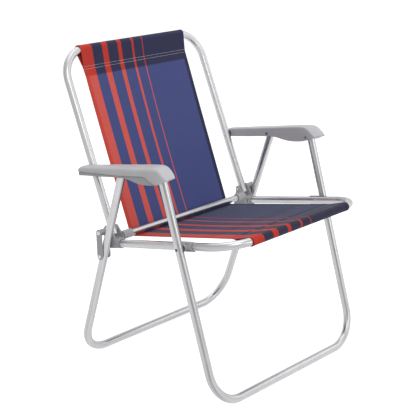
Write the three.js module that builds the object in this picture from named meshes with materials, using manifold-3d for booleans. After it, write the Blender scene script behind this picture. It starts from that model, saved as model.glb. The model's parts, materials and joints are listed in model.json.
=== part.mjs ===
// A folding lawn chair of bent aluminium tube with a one-piece fabric sling and plastic armrests.
// Millimetres. X runs across the chair, Y to its back and Z up. The origin is on the floor, under
// the middle of the chair's outline. The chair is drawn open, standing on its two floor bars.
import * as THREE from "three";
import { mergeVertices } from "three/addons/utils/BufferGeometryUtils.js";
import Module from "manifold-3d";

const wasm = await Module();
wasm.setup();

// Stance of the four tube frames
const seatFrontHeight = 387.8; // axis of the seat's front bar
const backTopHeight = 747.2; // axis of the back's top bar
const seatDepth = 379.5; // from the seat's front bar back to the hinge axle
const seatRake = 11.03; // degrees, the seat falls to the back
const backLean = 22.64; // degrees from upright
const frontLegLean = 17.12;
const rearLegLean = 18.42;
const seatHalfWidth = 239.25; // tube axes from the chair's middle
const backInset = 2.25; // the back's tube axes inside the seat's
const backTaper = 2.7; // the back frame draws in by this on each side towards its top
const legSplayShare = 0.0143; // sideways run of a leg for each unit of height

// Tubes
const tubeDiameter = 19.05;
const tubeWall = 1.2;
const tubeSides = 16;
const boreSides = 12;
const bendSteps = 6;
const seatBendRadius = 76;
const backBendRadius = 72;
const legBendRadius = 80;
const crossTubeDiameter = 15.9;
const crossTubeWall = 1.2;
const crossTubeAhead = 19; // of the hinge axle
const crossTubeAboveSeat = 15; // above the plane of the seat's side tubes

// Folding pivots
const hingeAboveSeat = 33.7; // hinge axle above the axis of the seat's side tube
const hingeSetback = 2.8; // hinge axle behind the axis of the back tube
const frontLegBehindBar = 133; // front leg's pivot on the seat, behind the seat's front bar
const rearLegAhead = 21.1; // axis of the rear leg ahead of the hinge axle, at its height
const linkDrop = 57.5; // link's pivot on the rear leg, below the hinge axle
const armAboveHinge = 138.5; // armrest's pivot on the back frame
const armBackPivotDepth = 12.3; // pivots in the armrest, below its top
const armRearLegPivotDepth = 16.15;
const armFrontLegPivotDepth = 28.5;
const backTubeTail = 12; // tube beyond the hinge axle
const frontLegTail = 9; // tube beyond its pivot in the armrest
const rearLegTail = 7;

// Gaps
const slip = 0.3; // between pieces that touch
const play = 0.6; // between pieces that slide past each other
const overrun = 4; // how far a cut passes the face it opens

// Rivets and washers
const rivetRadius = 2.5;
const rivetHeadRadius = 4.6;
const rivetHeadHeight = 1.5;
const axleHeadRadius = 5.2;
const rivetSides = 12;
const arcSegments = 4; // half as many as the facets of a half circle
const weldDistance = 1e-4; // corners nearer than this are one corner
const washerRadius = 8;
const washerThickness = 1;
const armWasherThickness = 1.2;

// Leg spacers on the seat's side tubes
const legGap = 7.2; // between the seat tube and the front leg
const spacerLength = 46;
const spacerWall = 2;
const spacerBossRadius = 8.5;

// Hinge brackets
const earThickness = 3.6;
const outerEarHeight = 11; // above the hinge axle
const earReach = 11.5; // behind the hinge axle
const finInset = 18; // inner ear, a narrow fin, from the back tube's axis to its far face
const finThickness = 3.8;
const finHeight = 8.3;
const finReach = 5; // behind the hinge axle
const finFootReach = 8; // behind the hinge axle at the block
const finCollarRadius = 6;
const blockAhead = 26; // block in front of the hinge axle
const bracketFloorDrop = 17.9; // from the hinge axle to the floor between the ears
const bracketSleeveWall = 2;
const bracketSleeveLength = 42;
const bracketSleeveCap = 4.5;
const socketWall = 2.2;
const socketLength = 27; // from the fin towards the chair's middle
const socketSeat = 3; // closed end of the socket
const bracketRivetInset = 6; // back from the sleeve's mouth

// Links between the hinge axle and the rear legs
const linkHalfWidth = 8.3;
const linkInnerThickness = 3;
const linkOuterThickness = 3.4;
const linkHubRadius = 7.6;
const linkPinLength = 0.5; // shank standing out of the plate towards the leg

// Armrests
const armTail = 13; // armrest behind its pivot on the back frame
const armNose = 23.7; // armrest ahead of its pivot on the front leg
const armDepth = 41;
const armRise = 10.08; // degrees, the top climbs to the front
const armRearWidth = 31.5;
const armFrontWidth = 43.5;
const armFlareEnd = 0.7; // share of the length where the full width is reached
const armSweep = 8; // the outer side runs this far ahead of the inner side at the front
const armEdge = 4; // rounding of the top's long edges
const armEdgeSteps = 3;
const armWall = 2.6;
const armRoof = 3.2;
const armBossRadius = 6.5;
const armBlindDepth = 1.6;
const armTailOpening = 9; // clear height under the rear end wall
const armStep = 2.5; // the outer skirt lies this far inside the lip above it

// Sling
const slingInset = 62.25; // edge of the sling inside the axes of the seat's side tubes
const slingThickness = 1.2;
const seamDistance = 45; // from a bar's axis to the seam of the sleeve round it
const sleeveEase = 1; // between a bar and the sleeve sewn round it
const sleeveSteps = 12;
const slingSplitGap = 1;
const slingBehindHinge = 8.1; // the slack cloth hangs this far behind the hinge axle
const slingTurnRadius = 18; // where the slack cloth turns under the cross tube
const slingTurnSteps = 6;
const slingAboveSeat = 0.8; // the cloth above the plane of the seat's side tubes

// Values worked out from the sizes above
const degrees = Math.PI / 180;
const tubeRadius = tubeDiameter / 2;
const slingHalfWidth = seatHalfWidth - slingInset;
const crossRadius = crossTubeDiameter / 2;
const barHeight = tubeRadius * Math.cos(Math.PI / tubeSides); // a facet lies on the floor
const seatFall = Math.tan(seatRake * degrees); // each as a run for each unit of the other way
const backRun = Math.tan(backLean * degrees);
const frontLegRun = Math.tan(frontLegLean * degrees);
const rearLegRun = Math.tan(rearLegLean * degrees);
const armClimb = Math.tan(armRise * degrees);

const hingeHeight = seatFrontHeight - seatFall * seatDepth + hingeAboveSeat;
const frameDepth = seatDepth - hingeSetback + backRun * (backTopHeight - hingeHeight);
const seatFrontY = -frameDepth / 2;
const backTopY = frameDepth / 2;
const hinge = [seatFrontY + seatDepth, hingeHeight];

const seatZ = (y) => seatFrontHeight - seatFall * (y - seatFrontY);
const backY = (z) => backTopY - backRun * (backTopHeight - z);
const seatLeg = [seatFrontY + frontLegBehindBar, seatZ(seatFrontY + frontLegBehindBar)];
const frontLegY = (z) => seatLeg[0] + frontLegRun * (z - seatLeg[1]);
const rearLegY = (z) => hinge[0] - rearLegAhead - rearLegRun * (z - hingeHeight);
const armBackHeight = hingeHeight + armAboveHinge;
const armBack = [backY(armBackHeight), armBackHeight];
const armRearY = armBack[0] + armTail;
const armTopZ = (y) => armBackHeight + armBackPivotDepth + armClimb * (armBack[0] - y);

// Where a leg's line passes at the given depth under the armrest's top
function underArm(legY, legRun, depth) {
  const z = (armTopZ(legY(0)) - depth) / (1 + armClimb * legRun);
  return [legY(z), z];
}

const pivots = {
  hinge,
  seatLeg,
  armBack,
  armFront: underArm(frontLegY, frontLegRun, armFrontLegPivotDepth),
  armRear: underArm(rearLegY, -rearLegRun, armRearLegPivotDepth),
  link: [rearLegY(hingeHeight - linkDrop), hingeHeight - linkDrop],
};
const armLength = armRearY - pivots.armFront[0] + armNose;
const seatAhead = [-Math.cos(seatRake * degrees), Math.sin(seatRake * degrees)]; // y, z to the front
const backUp = [Math.sin(backLean * degrees), Math.cos(backLean * degrees)];
const backRear = [backUp[1], -backUp[0]];
const crossTubeY = hinge[0] - crossTubeAhead;
const crossTubeZ = seatZ(crossTubeY) + crossTubeAboveSeat;

const backHalfWidth = seatHalfWidth - backInset;
const finX = backHalfWidth - finInset;
const legHalfWidth = seatHalfWidth + tubeDiameter + legGap; // at the seat pivot
const legX = (z) => legHalfWidth + legSplayShare * (z - seatLeg[1]);
const backX = (z) =>
  backHalfWidth - (backTaper * (z - hingeHeight)) / (backTopHeight - hingeHeight);

// Solids
function closed(geometry) {
  const bare = geometry.index ? geometry.toNonIndexed() : geometry.clone();
  bare.deleteAttribute("normal");
  bare.deleteAttribute("uv");
  const merged = mergeVertices(bare, weldDistance);
  const corners = merged.index.array;
  const kept = [];
  for (let i = 0; i < corners.length; i += 3) {
    const [a, b, c] = corners.subarray(i, i + 3);
    if (a !== b && b !== c && a !== c) kept.push(a, b, c);
  }
  return new wasm.Manifold(
    new wasm.Mesh({
      numProp: 3,
      vertProperties: new Float32Array(merged.attributes.position.array),
      triVerts: new Uint32Array(kept),
    }),
  );
}

const join = (first, ...others) => others.reduce((whole, next) => whole.add(next), first);
const cut = (first, ...tools) => tools.reduce((whole, tool) => whole.subtract(tool), first);

// A round bar between two points. A polygon of the given sides stands for its round section.
function bar(from, to, radius, sides = tubeSides, endRadius = radius) {
  const start = new THREE.Vector3(...from);
  const run = new THREE.Vector3(...to).sub(start);
  const length = run.length();
  const turn = new THREE.Quaternion().setFromUnitVectors(
    new THREE.Vector3(0, 1, 0),
    run.clone().normalize(),
  );
  const shape = new THREE.CylinderGeometry(endRadius, radius, length, sides);
  shape.translate(0, length / 2, 0).applyQuaternion(turn).translate(...from);
  return closed(shape);
}

// A round bar across the chair, on the given side.
const acrossBar = (side, fromX, toX, [y, z], radius, sides = rivetSides) =>
  bar([side * fromX, y, z], [side * toX, y, z], radius, sides);

// A flat outline in the side view, [y, z], made solid between two distances from the middle.
function plate(side, fromX, toX, outline) {
  const shape =
    outline instanceof THREE.Shape
      ? outline
      : new THREE.Shape(outline.map(([y, z]) => new THREE.Vector2(y, z)));
  const low = Math.min(side * fromX, side * toX);
  const block = new THREE.ExtrudeGeometry(shape, {
    depth: Math.abs(toX - fromX),
    bevelEnabled: false,
    curveSegments: arcSegments,
  });
  const stand = new THREE.Matrix4().makeBasis(
    new THREE.Vector3(0, 1, 0),
    new THREE.Vector3(0, 0, 1),
    new THREE.Vector3(1, 0, 0),
  );
  block.applyMatrix4(stand).translate(low, 0, 0);
  return closed(block);
}

// Rings of the same number of points, skinned into one closed body.
function loft(rings) {
  const count = rings[0].length;
  const positions = rings.flat().flat();
  const faces = [];
  rings.slice(1).forEach((_, r) => {
    for (let i = 0; i < count; i++) {
      const a = r * count + i;
      const b = r * count + ((i + 1) % count);
      faces.push(a, b, b + count, a, b + count, a + count);
    }
  });
  const last = (rings.length - 1) * count;
  for (let i = 1; i < count - 1; i++) {
    faces.push(0, i + 1, i);
    faces.push(last, last + i, last + i + 1);
  }
  const corner = (i) => new THREE.Vector3(...positions.slice(3 * i, 3 * i + 3));
  let volume = 0;
  for (let i = 0; i < faces.length; i += 3) {
    volume += corner(faces[i]).dot(corner(faces[i + 1]).cross(corner(faces[i + 2])));
  }
  const skin = new THREE.BufferGeometry();
  skin.setAttribute("position", new THREE.Float32BufferAttribute(positions, 3));
  skin.setIndex(volume < 0 ? faces.reverse() : faces);
  return closed(skin);
}

// The axis of a bent tube: straight runs with a ring only where a bend needs one.
class BentAxis extends THREE.Curve {
  constructor(corners, radius) {
    super();
    const points = corners.map((corner) => new THREE.Vector3(...corner));
    this.rings = [];
    const way = (i) => points[i + 1].clone().sub(points[i]).normalize();
    this.rings.push([points[0], way(0)]);
    for (let i = 1; i < points.length - 1; i++) {
      const before = way(i - 1);
      const after = way(i);
      const turn = before.angleTo(after);
      const setback = radius * Math.tan(turn / 2);
      const start = points[i].clone().addScaledVector(before, -setback);
      const inward = after.clone().addScaledVector(before, -after.dot(before)).normalize();
      const centre = start.clone().addScaledVector(inward, radius);
      for (let step = 0; step <= bendSteps; step++) {
        const angle = (turn * step) / bendSteps;
        this.rings.push([
          centre
            .clone()
            .addScaledVector(inward, -radius * Math.cos(angle))
            .addScaledVector(before, radius * Math.sin(angle)),
          before
            .clone()
            .multiplyScalar(Math.cos(angle))
            .addScaledVector(inward, Math.sin(angle)),
        ]);
      }
    }
    this.rings.push([points[points.length - 1], way(points.length - 2)]);
  }
  ring(share) {
    return this.rings[Math.round(share * (this.rings.length - 1))];
  }
  getPointAt(share) {
    return this.ring(share)[0].clone();
  }
  getTangentAt(share) {
    return this.ring(share)[1].clone();
  }
}

function polygon(radius, sides, turn, kind) {
  const points = Array.from({ length: sides }, (_, i) => {
    const angle = turn + (2 * Math.PI * i) / sides;
    return new THREE.Vector2(radius * Math.cos(angle), radius * Math.sin(angle));
  });
  return new kind(points);
}

// An open-ended bent tube. turn rolls the section, so that a facet can lie on the floor.
function bentTube(corners, radius, wall, bendRadius, turn = 0) {
  const axis = new BentAxis(corners, bendRadius);
  const facet = Math.PI / tubeSides;
  const section = polygon(radius, tubeSides, turn + facet, THREE.Shape);
  section.holes.push(polygon(radius - wall, boreSides, turn, THREE.Path));
  return closed(
    new THREE.ExtrudeGeometry(section, {
      steps: axis.rings.length - 1,
      extrudePath: axis,
    }),
  );
}

// A rivet across the chair: a shank with a low domed head at either end or at both.
function rivet(side, fromX, toX, place, heads, headRadius = rivetHeadRadius) {
  const sign = Math.sign(toX - fromX);
  const intoHead = (end) => (heads.includes(end) ? (sign * rivetHeadHeight) / 2 : 0);
  const pieces = [
    acrossBar(side, fromX - intoHead("from"), toX + intoHead("to"), place, rivetRadius),
  ];
  const head = (x, outward) =>
    bar(
      [side * x, ...place],
      [side * (x + outward * rivetHeadHeight), ...place],
      headRadius,
      rivetSides,
      headRadius - rivetHeadHeight,
    );
  if (heads.includes("from")) pieces.push(head(fromX, -sign));
  if (heads.includes("to")) pieces.push(head(toX, sign));
  return join(...pieces);
}

const hole = (side, fromX, toX, place) =>
  acrossBar(side, fromX, toX, place, rivetRadius + slip);

function ring(side, fromX, toX, place, radius) {
  return cut(
    acrossBar(side, fromX, toX, place, radius, tubeSides),
    hole(side, fromX - overrun, toX + overrun, place),
  );
}

// A strip of the sling's thickness along a line in the side view.
function ribbon(line, thickness = slingThickness) {
  const edge = (offset) =>
    line.map(([y, z], i) => {
      const before = line[Math.max(i - 1, 0)];
      const after = line[Math.min(i + 1, line.length - 1)];
      const length = Math.hypot(after[0] - before[0], after[1] - before[1]);
      return [
        y - (offset * (after[1] - before[1])) / length,
        z + (offset * (after[0] - before[0])) / length,
      ];
    });
  return plate(1, -slingHalfWidth, slingHalfWidth, [
    ...edge(thickness / 2),
    ...edge(-thickness / 2).reverse(),
  ]);
}

// The sleeve of the sling round a bar, drawn together at a seam on the panel's line.
function sleeve(barAxis, towardSeam) {
  const radius =
    (tubeRadius + sleeveEase + slingThickness / 2) / Math.cos(Math.PI / (2 * sleeveSteps));
  const across = [-towardSeam[1], towardSeam[0]];
  const at = (along, aside) => [
    barAxis[0] + along * towardSeam[0] + aside * across[0],
    barAxis[1] + along * towardSeam[1] + aside * across[1],
  ];
  const touch = Math.acos(radius / seamDistance);
  const line = [at(seamDistance, 0)];
  for (let step = 0; step <= sleeveSteps; step++) {
    const angle = touch + ((2 * Math.PI - 2 * touch) * step) / sleeveSteps;
    line.push(at(radius * Math.cos(angle), radius * Math.sin(angle)));
  }
  line.push(at(seamDistance, 0));
  return [ribbon(line.slice(0, -1)), ribbon(line.slice(-2))];
}

const along = ([y, z], [dy, dz], distance) => [y + dy * distance, z + dz * distance];

// Frames
function backFrame() {
  const foot = along(
    along(pivots.hinge, backRear, -hingeSetback * Math.cos(backLean * degrees)),
    backUp,
    -backTubeTail,
  );
  const side = (sign) => [
    [sign * backX(foot[1]), ...foot],
    [sign * backX(backTopHeight), backTopY, backTopHeight],
  ];
  const frame = bentTube(
    [...side(-1), ...side(1).reverse()],
    tubeRadius,
    tubeWall,
    backBendRadius,
    backLean * degrees,
  );
  const holes = [-1, 1].flatMap((sign) =>
    [pivots.hinge, pivots.armBack].map((place) => {
      const x = backX(place[1]);
      return hole(sign, x - tubeRadius - overrun, x + tubeRadius + overrun, place);
    }),
  );
  return cut(frame, ...holes);
}

const seatTubeEndY = pivots.hinge[0];

function seatFrame() {
  const side = (sign) => [
    [sign * seatHalfWidth, seatTubeEndY, seatZ(seatTubeEndY)],
    [sign * seatHalfWidth, seatFrontY, seatFrontHeight],
  ];
  const frame = bentTube(
    [...side(-1), ...side(1).reverse()],
    tubeRadius,
    tubeWall,
    seatBendRadius,
  );
  const holes = [-1, 1].flatMap((sign) => [
    hole(
      sign,
      seatHalfWidth - tubeRadius - overrun,
      seatHalfWidth + tubeRadius + overrun,
      pivots.seatLeg,
    ),
    hole(sign, seatHalfWidth - tubeRadius - overrun, seatHalfWidth, bracketRivetPlace),
  ]);
  return cut(frame, ...holes);
}

// A leg frame leans by a signed angle: upwards to the back, or to the front where it is negative.
function legFrame(lineY, topPivot, tail, lean, holesAt) {
  const topZ = topPivot[1] + tail * Math.cos(lean * degrees);
  const side = (sign) => [
    [sign * legX(topZ), lineY(topZ), topZ],
    [sign * legX(barHeight), lineY(barHeight), barHeight],
  ];
  const frame = bentTube(
    [...side(-1), ...side(1).reverse()],
    tubeRadius,
    tubeWall,
    legBendRadius,
    lean * degrees,
  );
  const holes = [-1, 1].flatMap((sign) =>
    holesAt.map((place) => {
      const x = legX(place[1]);
      return hole(sign, x - tubeRadius - overrun, x + tubeRadius + overrun, place);
    }),
  );
  return cut(frame, ...holes);
}

function crossTube() {
  return bentTube(
    [
      [-crossTubeEnd, crossTubeY, crossTubeZ],
      [crossTubeEnd, crossTubeY, crossTubeZ],
    ],
    crossRadius,
    crossTubeWall,
    crossRadius,
  );
}

// Hinge bracket: two ears for the back tube on a block, a sleeve for the seat tube, and a socket
// for the cross tube
const earOuterX = backHalfWidth + tubeRadius + play;
const earFaceX = earOuterX + earThickness;
const crossTubeEnd = finX - socketSeat;
const sleeveMouthY = seatTubeEndY + bracketSleeveCap - bracketSleeveLength;
const bracketRivetY = sleeveMouthY + bracketRivetInset;
const bracketRivetPlace = [bracketRivetY, seatZ(bracketRivetY)];

function hingeBracket(side) {
  const [y, z] = pivots.hinge;
  const floor = z - bracketFloorDrop;
  const frontY = y - blockAhead;
  const rearY = y + earReach;
  const under = (at) => seatZ(at) - tubeRadius;
  const blockFoot = [
    [rearY, under(rearY)],
    [frontY, under(frontY)],
    [frontY, floor],
  ];
  const fin = plate(side, finX, finX + finThickness, [
    ...blockFoot,
    [y - finReach / 2, z + finHeight],
    [y + finReach / 2, z + finHeight],
    [y + finReach, z + finReach],
    [y + finReach, z - finReach],
    [y + finFootReach, floor],
    [rearY, floor],
  ]);
  const ear = plate(side, earOuterX, earFaceX, [
    ...blockFoot,
    [y - earReach, z + outerEarHeight / 2],
    [y - earReach / 2, z + outerEarHeight],
    [y + earReach / 2, z + outerEarHeight],
    [rearY, z + outerEarHeight / 2],
  ]);
  const block = plate(side, finX, earFaceX, [...blockFoot, [rearY, floor]]);
  const sleeveRadius = tubeRadius + slip + bracketSleeveWall;
  const backEndY = seatTubeEndY + bracketSleeveCap;
  const socketMouth = finX - socketLength;
  const crossPlace = [crossTubeY, crossTubeZ];
  const boreStart = sleeveMouthY - overrun;
  const boreEnd = seatTubeEndY + slip;
  return cut(
    join(
      block,
      fin,
      ear,
      acrossBar(side, finX, backHalfWidth - tubeRadius - play, pivots.hinge, finCollarRadius),
      bar(
        [side * seatHalfWidth, sleeveMouthY, seatZ(sleeveMouthY)],
        [side * seatHalfWidth, backEndY, seatZ(backEndY)],
        sleeveRadius,
      ),
      acrossBar(
        side,
        socketMouth,
        finX + finThickness / 2,
        crossPlace,
        crossRadius + slip + socketWall,
        tubeSides,
      ),
    ),
    bar(
      [side * seatHalfWidth, boreStart, seatZ(boreStart)],
      [side * seatHalfWidth, boreEnd, seatZ(boreEnd)],
      tubeRadius + slip,
    ),
    acrossBar(
      side,
      socketMouth - overrun,
      crossTubeEnd + slip,
      crossPlace,
      crossRadius + slip,
      tubeSides,
    ),
    hole(side, finX - overrun, earFaceX + overrun, pivots.hinge),
    hole(side, finX - overrun, seatHalfWidth, bracketRivetPlace),
  );
}

// Link: two plates beside the rear leg, joined by a hub round the hinge axle behind it
const linkInnerX = earFaceX + play;
const linkOuterX = legX(pivots.hinge[1]) + tubeRadius + play;

function link(side) {
  const [y, z] = pivots.hinge;
  const [py, pz] = pivots.link;
  const run = Math.hypot(py - y, pz - z);
  const across = [-(pz - z) / run, (py - y) / run];
  const outline = new THREE.Shape();
  const lean = Math.atan2(across[1], across[0]);
  outline.absarc(y, z, linkHalfWidth, lean, lean + Math.PI);
  outline.absarc(py, pz, linkHalfWidth, lean + Math.PI, lean + 2 * Math.PI);
  const outerX = linkOuterX + linkOuterThickness;
  return cut(
    join(
      plate(side, linkInnerX, linkInnerX + linkInnerThickness, outline),
      plate(side, linkOuterX, outerX, outline),
      acrossBar(side, linkInnerX, outerX, pivots.hinge, linkHubRadius, tubeSides),
    ),
    hole(side, linkInnerX - overrun, outerX + overrun, pivots.hinge),
    hole(side, linkInnerX - overrun, outerX + overrun, pivots.link),
  );
}

// Armrest: a flat top with rounded edges over a skirt that is open underneath. Each station has its
// share of the length from the rear end, then three depths below the straight line of the top, as
// shares of the full depth: the top, the lip of the outer side, and the bottom. Last comes the
// inset of both sides, as a share of the front width.
const armStations = [
  [0, 0.16, 0.26, 0.511, 0.08],
  [0.007, 0.085, 0.27, 0.517, 0.03],
  [0.026, 0.015, 0.28, 0.522, 0],
  [0.061, 0, 0.3, 0.522, 0],
  [0.271, 0, 0.37, 0.549, 0],
  [0.462, 0, 0.432, 0.573, 0],
  [0.579, 0, 0.445, 0.637, 0],
  [0.693, 0, 0.45, 0.846, 0],
  [0.773, 0, 0.49, 0.939, 0],
  [0.842, 0.01, 0.78, 0.957, 0],
  [0.908, 0.088, 0.924, 0.924, 0],
  [0.953, 0.315, 0.822, 0.822, 0.01],
  [0.984, 0.556, 0.776, 0.776, 0.05],
  [1, 0.685, 0.759, 0.759, 0.12],
];
const armChannelEnd = -2; // the nose's last stations are solid
const armInnerX = backX(armBackHeight) + tubeRadius + armWasherThickness + 2 * slip;
const armTopLine = (share) => armTopZ(armRearY - share * armLength);
const armFlare = (share) => Math.min(share / armFlareEnd, 1);
const armOuterX = (share) =>
  armInnerX + armRearWidth + (armFrontWidth - armRearWidth) * armFlare(share);

// Points of a ring, given in the armrest's own width and height, as places on one side of the chair
function armRing(side, share, points) {
  const width = armOuterX(share) - armInnerX;
  return points.map(([x, z]) => {
    const across = (x - armInnerX) / width;
    return [side * x, armRearY - share * armLength - armSweep * armFlare(share) * across, z];
  });
}

function armOutline(side, [share, drop, lip, depth, inset]) {
  const level = (part) => armTopLine(share) - part * armDepth;
  const [top, lipZ, bottom] = [drop, lip, depth].map(level);
  const from = armInnerX + inset * armFrontWidth;
  const to = armOuterX(share) - inset * armFrontWidth;
  const edge = Math.min(armEdge, (top - bottom) / 2);
  const arc = Array.from({ length: armEdgeSteps + 1 }, (_, i) => {
    const angle = (Math.PI / 2) * (i / armEdgeSteps);
    return [edge * (1 - Math.cos(angle)), edge * (1 - Math.sin(angle))];
  });
  return armRing(side, share, [
    [from, bottom],
    ...arc.map(([x, z]) => [from + x, top - z]),
    ...arc.reverse().map(([x, z]) => [to - x, top - z]),
    [to, lipZ],
    [to - armStep, lipZ],
    [to - armStep, bottom],
  ]);
}

function armHollow(side, [share, drop, , depth]) {
  const top = armTopLine(share) - drop * armDepth - armRoof;
  const bottom = armTopLine(share) - depth * armDepth - overrun;
  const from = armInnerX + armWall;
  const to = armOuterX(share) - armStep - armWall;
  return armRing(side, share, [
    [from, bottom],
    [from, top - armEdge / 2],
    [from + armEdge / 2, top],
    [to - armEdge / 2, top],
    [to, top - armEdge / 2],
    [to, bottom],
  ]);
}

function armrest(side) {
  const body = loft(armStations.map((station) => armOutline(side, station)));
  const rearStation = [armWall / armLength, ...armStations[2].slice(1)];
  const channel = loft(
    [rearStation, ...armStations.slice(2, armChannelEnd)].map((station) =>
      armHollow(side, station),
    ),
  );
  const tailTop = armTopLine(0) - armStations[0][3] * armDepth + armTailOpening;
  const tailFront = armRearY - armTailOpening;
  const tailCut = plate(side, armInnerX + armWall, armOuterX(0) - armWall - armStep, [
    [tailFront, tailTop - 2 * armTailOpening],
    [armRearY + overrun, tailTop - 2 * armTailOpening],
    [armRearY + overrun, tailTop],
    [tailFront, tailTop],
  ]);
  const shell = cut(body, channel, tailCut);
  const bosses = [pivots.armRear, pivots.armFront].flatMap((place) => {
    const legInner = legX(place[1]) - tubeRadius - play;
    const legOuter = legX(place[1]) + tubeRadius + play;
    const outer = armOuterX((armRearY - place[0]) / armLength) - armStep - armWall / 2;
    return [
      acrossBar(side, armInnerX + armWall / 2, legInner, place, armBossRadius),
      acrossBar(side, legOuter, outer, place, armBossRadius),
    ];
  });
  const through = armInnerX - overrun;
  return cut(
    join(shell, ...bosses),
    hole(side, through, rearLegRivetEnd + slip, pivots.armRear),
    hole(side, through, legX(pivots.armFront[1]) - tubeRadius, pivots.armFront),
    hole(side, through, armInnerX + armWall + overrun, pivots.armBack),
  );
}
const rearLegRivetEnd = legX(pivots.armRear[1]) + tubeRadius + play + armBlindDepth;

// Spacer between the seat tube and the front leg
const seatTubeOuterX = seatHalfWidth + tubeRadius;
const spacerFaceX = seatTubeOuterX + legGap - washerThickness - 2 * slip;

function legSpacer(side) {
  const [y, z] = pivots.seatLeg;
  const half = (spacerLength / 2) * Math.cos(seatRake * degrees);
  const at = (shift) => [side * seatHalfWidth, y + shift, seatZ(y + shift)];
  const saddle = cut(
    bar(at(-half), at(half), tubeRadius + slip + spacerWall),
    plate(side, seatHalfWidth - 2 * tubeDiameter, seatHalfWidth, [
      [y - spacerLength, z - tubeDiameter],
      [y + spacerLength, z - tubeDiameter],
      [y + spacerLength, z + tubeDiameter],
      [y - spacerLength, z + tubeDiameter],
    ]),
  );
  return cut(
    join(saddle, acrossBar(side, seatHalfWidth, spacerFaceX, [y, z], spacerBossRadius)),
    bar(at(-half - overrun), at(half + overrun), tubeRadius + slip),
    hole(side, seatHalfWidth, spacerFaceX + overrun, [y, z]),
  );
}

// Sling: the back panel hangs from its bar to a line behind the hinge axle, where the seat panel
// goes on. That panel turns under the cross tube and runs forward to the seat's front bar.
const backBarAxis = [backTopY, backTopHeight];
const seatBarAxis = [seatFrontY, seatFrontHeight];
const slingSplit = along(pivots.hinge, backRear, slingBehindHinge);
const direction = (from, to) => {
  const length = Math.hypot(to[0] - from[0], to[1] - from[1]);
  return [(to[0] - from[0]) / length, (to[1] - from[1]) / length];
};
const panelUp = direction(slingSplit, backBarAxis);
const backSeam = along(backBarAxis, panelUp, -seamDistance);
const seatSeam = along(seatBarAxis, seatAhead, -seamDistance);

function turnLine() {
  const toSeat = seatZ(slingSplit[0]) + slingAboveSeat - slingSplit[1];
  const fall = panelUp[1] + panelUp[0] * Math.tan(seatRake * degrees);
  const corner = along(slingSplit, panelUp, toSeat / fall);
  const opening = Math.acos(panelUp[0] * seatAhead[0] + panelUp[1] * seatAhead[1]);
  const middle = direction([0, 0], [panelUp[0] + seatAhead[0], panelUp[1] + seatAhead[1]]);
  const centre = along(corner, middle, slingTurnRadius / Math.sin(opening / 2));
  const start = along(corner, panelUp, slingTurnRadius / Math.tan(opening / 2));
  const first = Math.atan2(start[1] - centre[1], start[0] - centre[0]);
  return Array.from({ length: slingTurnSteps + 1 }, (_, step) => {
    const angle = first - ((Math.PI - opening) * step) / slingTurnSteps;
    return along(centre, [Math.cos(angle), Math.sin(angle)], slingTurnRadius);
  });
}

function backSling() {
  return join(
    ribbon([
      along(backSeam, panelUp, slingThickness),
      backSeam,
      along(slingSplit, panelUp, slingSplitGap / 2),
    ]),
    ...sleeve(backBarAxis, [-panelUp[0], -panelUp[1]]),
  );
}

function seatSling() {
  return join(
    ribbon([
      along(slingSplit, panelUp, -slingSplitGap / 2),
      ...turnLine(),
      seatSeam,
      along(seatSeam, seatAhead, slingThickness),
    ]),
    ...sleeve(seatBarAxis, [-seatAhead[0], -seatAhead[1]]),
  );
}

// Finishes
const finish = (color, roughness, metalness) =>
  new THREE.MeshStandardMaterial({ color, roughness, metalness });
const aluminium = () => finish(0xc9cacb, 0.32, 0.9);
const rivetMetal = () => finish(0xa9abad, 0.4, 0.9);
const armPlastic = () => finish(0x8f8f95, 0.5, 0);
const hingePlastic = () => finish(0x85868b, 0.55, 0);
const washerPlastic = () => finish(0x5c5d61, 0.6, 0);
const slingCloth = () => finish(0x464a74, 0.9, 0);

const chair = new THREE.Group();
function add(name, solid, material) {
  const { vertProperties, triVerts } = solid.getMesh();
  const geometry = new THREE.BufferGeometry();
  geometry.setAttribute("position", new THREE.BufferAttribute(vertProperties, 3));
  geometry.setIndex(new THREE.BufferAttribute(triVerts, 1));
  geometry.computeVertexNormals();
  const mesh = new THREE.Mesh(geometry, material);
  mesh.name = name;
  chair.add(mesh);
}

add("back_frame", backFrame(), aluminium());
add("seat_frame", seatFrame(), aluminium());
add(
  "front_leg_frame",
  legFrame(frontLegY, pivots.armFront, frontLegTail, frontLegLean, [pivots.seatLeg]),
  aluminium(),
);
add(
  "rear_leg_frame",
  legFrame(rearLegY, pivots.armRear, rearLegTail, -rearLegLean, [pivots.armRear]),
  aluminium(),
);
add("cross_tube", crossTube(), aluminium());
add("back_sling", backSling(), slingCloth());
add("seat_sling", seatSling(), slingCloth());

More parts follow.
